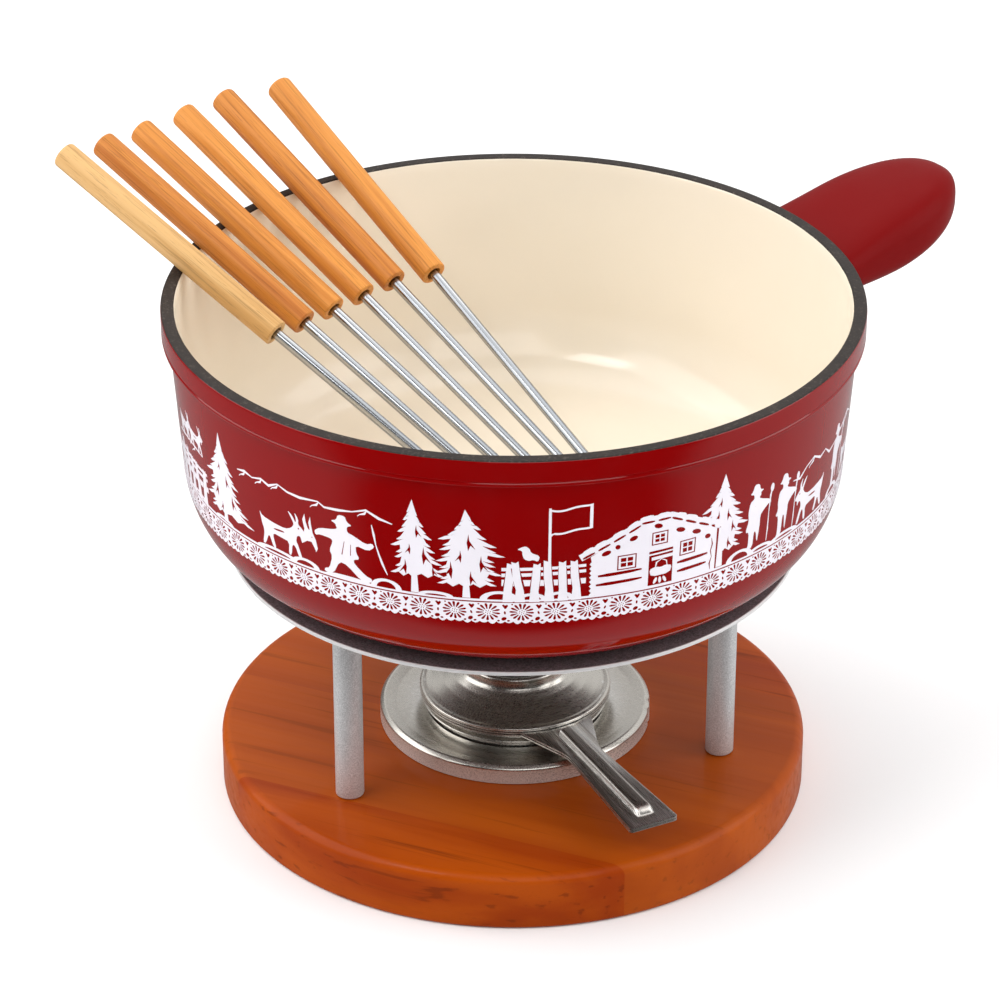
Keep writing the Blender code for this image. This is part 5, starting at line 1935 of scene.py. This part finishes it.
def wrapped(name, vertices, faces, material):
    """A printed piece: the flat drawing laid on the pot's wall, a hair thick."""
    shape = bmesh.new()
    placed = []
    for x, y in vertices:
        height = (LACE_TOP + y) * MM
        angle = FRONT_ANGLE + x / FRIEZE_R
        spot = around(wall_radius(height) + PRINT_PROUD, angle, POT_Z + height)
        placed.append(shape.verts.new(spot))
    for face in faces:
        corners = [placed[i] for i in face]
        if len(set(corners)) == len(corners) > 2:
            try:
                shape.faces.new(corners)
            except ValueError:
                continue
    bmesh.ops.delete(shape, geom=[v for v in shape.verts if not v.link_faces], context="VERTS")
    bmesh.ops.remove_doubles(shape, verts=shape.verts, dist=2e-6)
    bmesh.ops.triangulate(shape, faces=shape.faces)
    bmesh.ops.recalc_face_normals(shape, faces=shape.faces)
    flip = [f for f in shape.faces if f.normal.dot(f.calc_center_median().xy.to_3d()) < 0]
    bmesh.ops.reverse_faces(shape, faces=flip)
    rim = [edge for edge in shape.edges if len(edge.link_faces) == 1]
    made = bmesh.ops.extrude_edge_only(shape, edges=rim)
    sunk = [v for v in made["geom"] if isinstance(v, bmesh.types.BMVert)]
    for vertex in sunk:
        flat = vertex.co.xy
        vertex.co.xy = flat * (1 - (PRINT_PROUD + PRINT_DEEP) / flat.length)
    mesh = mesh_from(shape, name)
    smooth(mesh, 30)
    place(name, mesh, [material], "pot", "red_enamel")


def lace_border(ink):
    """The border, all the way round: the tile repeated, with its seam behind the pot."""
    layers, width = lace_tile()
    vertices, faces = inked(layers, 0, width)
    first_x = LACE_SHIFT - FRIEZE_R * math.pi
    all_vertices, all_faces = [], []
    for tile in range(DAISY_COUNT // LACE_TILE_FLOWERS):
        first = len(all_vertices)
        all_vertices += [(x + width * tile + first_x, y) for x, y in vertices]
        all_faces += [[first + i for i in face] for face in faces]
    wrapped("lace_border", all_vertices, all_faces, ink)


SECTOR = FRIEZE_R * math.tau / 6


def panel_far_left():
    layers = some_hills(-3 * SECTOR, -2 * SECTOR, 22)
    layers += shift(chalet(), -364, 0.0) + some_fir(-276, 27, 7, 81) + shift(bird(), -262, 16)
    layers += fence(-264, -248, 24)
    return layers


def panel_left():
    hills = [(-236, 7, 2.6), (-218, 8, 1.8), (-196, 7, 3.2), (-178, 9, 2.0), (-158, 7, 2.8)]
    layers = ground(-2 * SECTOR, -SECTOR, hills + [(-137, 8, 2.2)])
    layers += some_fir(-226, 26, 7, 21) + fence(-214, -196, 4) + shift(cow(), -180, 1.6)
    layers += shift(goat(), -162, 1.8, 1.1, True) + fence(-152, -130, 7)
    layers += shift(goat(), -146, 18.4, 0.8) + shift(goat(), -134, 19.0, 0.75)
    layers += ridge([(-156, 17.4), (-150, 18.6), (-143, 19.4), (-136, 19.8), (-129, 19.0)], 0.9)
    high = [(-222, 25), (-212, 29), (-206, 27), (-198, 32), (-190, 28), (-182, 30), (-172, 25)]
    return layers + ridge(high)


def panel_front_left():
    hills = [(-116, 6, 2.2), (-86.5, 10, 2.6), (-74, 6, 3.4), (-57, 9, 1.9), (-43, 5.5, 4.2)]
    layers = ground(-SECTOR, 0, hills + [(-26, 6, 2.4), (-5.0, 6.5, 4.0)])
    layers += fir(
        -114.4,
        35.2,
        1.0,
        [(1.6, 5), (4, 9), (7, 13), (11.2, 17.5), (9, 22), (12, 27), (9.5, 31)],
        [(1.6, 6), (4.5, 10), (7, 14), (9.5, 18.5), (10, 23), (14, 27.5), (16.9, 30.4)],
        [(-1.4, 13, 4.0), (2.6, 17.5, 5.5), (-4.0, 23, 6.0), (5.4, 24.5, 6.5), (-1.5, 28.5, 4.5)],
    )
    layers += shift(goat(), -83.6, 2.4, 1.2) + shift(goat_head(), -71.8, 2.6)
    layers += shift(herder(), -58.3, 1.5, 1.08)
    layers += ridge([
        (-103.9, 26.1), (-100, 27.0), (-96.1, 26.2), (-91.5, 27.5), (-88, 26.3), (-83.8, 28.4),
        (-79.5, 27.0), (-74.3, 26.7), (-66.9, 27.6), (-64.5, 26.2), (-59.2, 26.6), (-54.0, 27.4),
        (-48.9, 29.2), (-44.5, 27.0), (-39.9, 25.8),
    ])
    layers += fir(
        -33.0,
        36.5,
        1.0,
        [(1.8, 5), (3.2, 8.2), (5.2, 13), (7.8, 18.5), (6.6, 23), (8.2, 29)],
        [(1.6, 6), (3.6, 10), (6.3, 14.6), (7.2, 19.5), (9.4, 24), (10.2, 28.5)],
        [(1.2, 12, 5.0), (3.4, 21, 7.0), (-1.4, 19, 4.5), (-3.0, 26, 6.0), (6.4, 26.5, 4.5)],
    )
    layers += fir(
        -15.8,
        34.7,
        1.0,
        [(1.4, 4.6), (3.6, 7.8), (9.0, 12), (8.6, 16), (10, 20.5), (10.4, 25), (9.6, 29)],
        [(2.0, 4.2), (5, 7.4), (10, 14), (12.7, 17.6), (9.6, 21.5), (12, 24.8), (10, 28.8)],
        [(1.0, 12.5, 6.5), (-1.8, 18, 5.0), (5.0, 20.5, 6.5), (-5.0, 23.5, 7.0), (1.6, 26, 5.5)],
    )
    return layers


def panel_front_right():
    hills = [(5.5, 5, 3.2), (14.5, 5, 3.4), (81, 6, 4.2), (91, 6, 2.6), (103.5, 8, 2.5)]
    layers = ground(0, SECTOR, hills)
    layers += fence(-2.6, 20.0, 6) + shift(bird(), 4.3, 16.1) + shift(flag(), 11.2)
    layers += fir(
        71.9,
        36.4,
        1.0,
        [(1.5, 4.5), (3.5, 8), (8.4, 12.9), (7.0, 17.0), (6.0, 20.0)],
        [(2, 5.4), (4.5, 9.5), (7.5, 13.5), (9, 17.5), (11.8, 21.6), (9.6, 25.5), (8.6, 29.5)],
        [(-0.8, 10.5, 4.0), (-1.6, 15.5, 4.5), (2.4, 16, 5.0), (4.6, 21, 5.0), (3.2, 27.0, 5.0)],
    )
    layers += chalet()
    layers += shift(walker(6.2), 87.2, 3.2, 1.09, True)
    layers += shift(walker(8.0), 101.8, 1.9, 1.07, True) + shift(goat(), 119.0, 1.4, 1.2, True)
    high = [(106, 20.6), (110.1, 19.8), (114, 22.6), (118.9, 24.2), (124, 21.6), (128, 22.8)]
    return layers + ridge(high)


def panel_right():
    hills = [(139.5, 6, 3.8), (158, 8, 2.2), (180, 7, 3.0), (202, 8, 1.8), (226, 7, 2.6)]
    layers = ground(SECTOR, 2 * SECTOR, hills)
    layers += shift(walker(7.0), 140.6, 3.4, 1.05, True) + shift(goat(), 158, 2.2, 1.1)
    layers += shift(herder(), 180, 2.4, 1.0, True) + fence(198, 220, 19) + some_fir(230, 29, 8, 63)
    layers += ridge([(128, 22.8), (132, 19.8), (137, 21), (146, 24), (152, 26), (160, 22)])
    return layers + ridge([(170, 28), (178, 31), (184, 27), (192, 32), (203, 29), (212, 25)])


def panel_back():
    layers = some_hills(2 * SECTOR, 3 * SECTOR, 18)
    layers += some_fir(256, 33, 9, 71) + shift(walker(7.0), 274, 2.4, 1.05, True)
    layers += shift(goat(), 291, 2.2, 1.1) + shift(goat(), 310, 2.2, 1.0, True)
    layers += some_fir(329, 29, 8, 73) + some_fir(347, 34, 9, 79)
    return layers + ridge([(264, 26), (274, 31), (280, 28), (290, 32), (300, 27), (312, 30)])


# Each panel runs a sixth of the way round, from the far left to the back. The fourth starts at
# the point that faces the camera.
PANELS = {
    "frieze_far_left": panel_far_left,
    "frieze_left": panel_left,
    "frieze_front_left": panel_front_left,
    "frieze_front_right": panel_front_right,
    "frieze_right": panel_right,
    "frieze_back": panel_back,
}


def frieze():
    ink = print_white()
    lace_border(ink)
    for number, (name, panel) in enumerate(PANELS.items(), -3):
        vertices, faces = inked(panel(), number * SECTOR, (number + 1) * SECTOR)
        wrapped(name, vertices, faces, ink)


make_camera()
studio()
make_floor()
wooden_base()
legs()
screws()
support_ring()
burner()
pot()
pot_handle()
handle_bolt()
forks()
frieze()
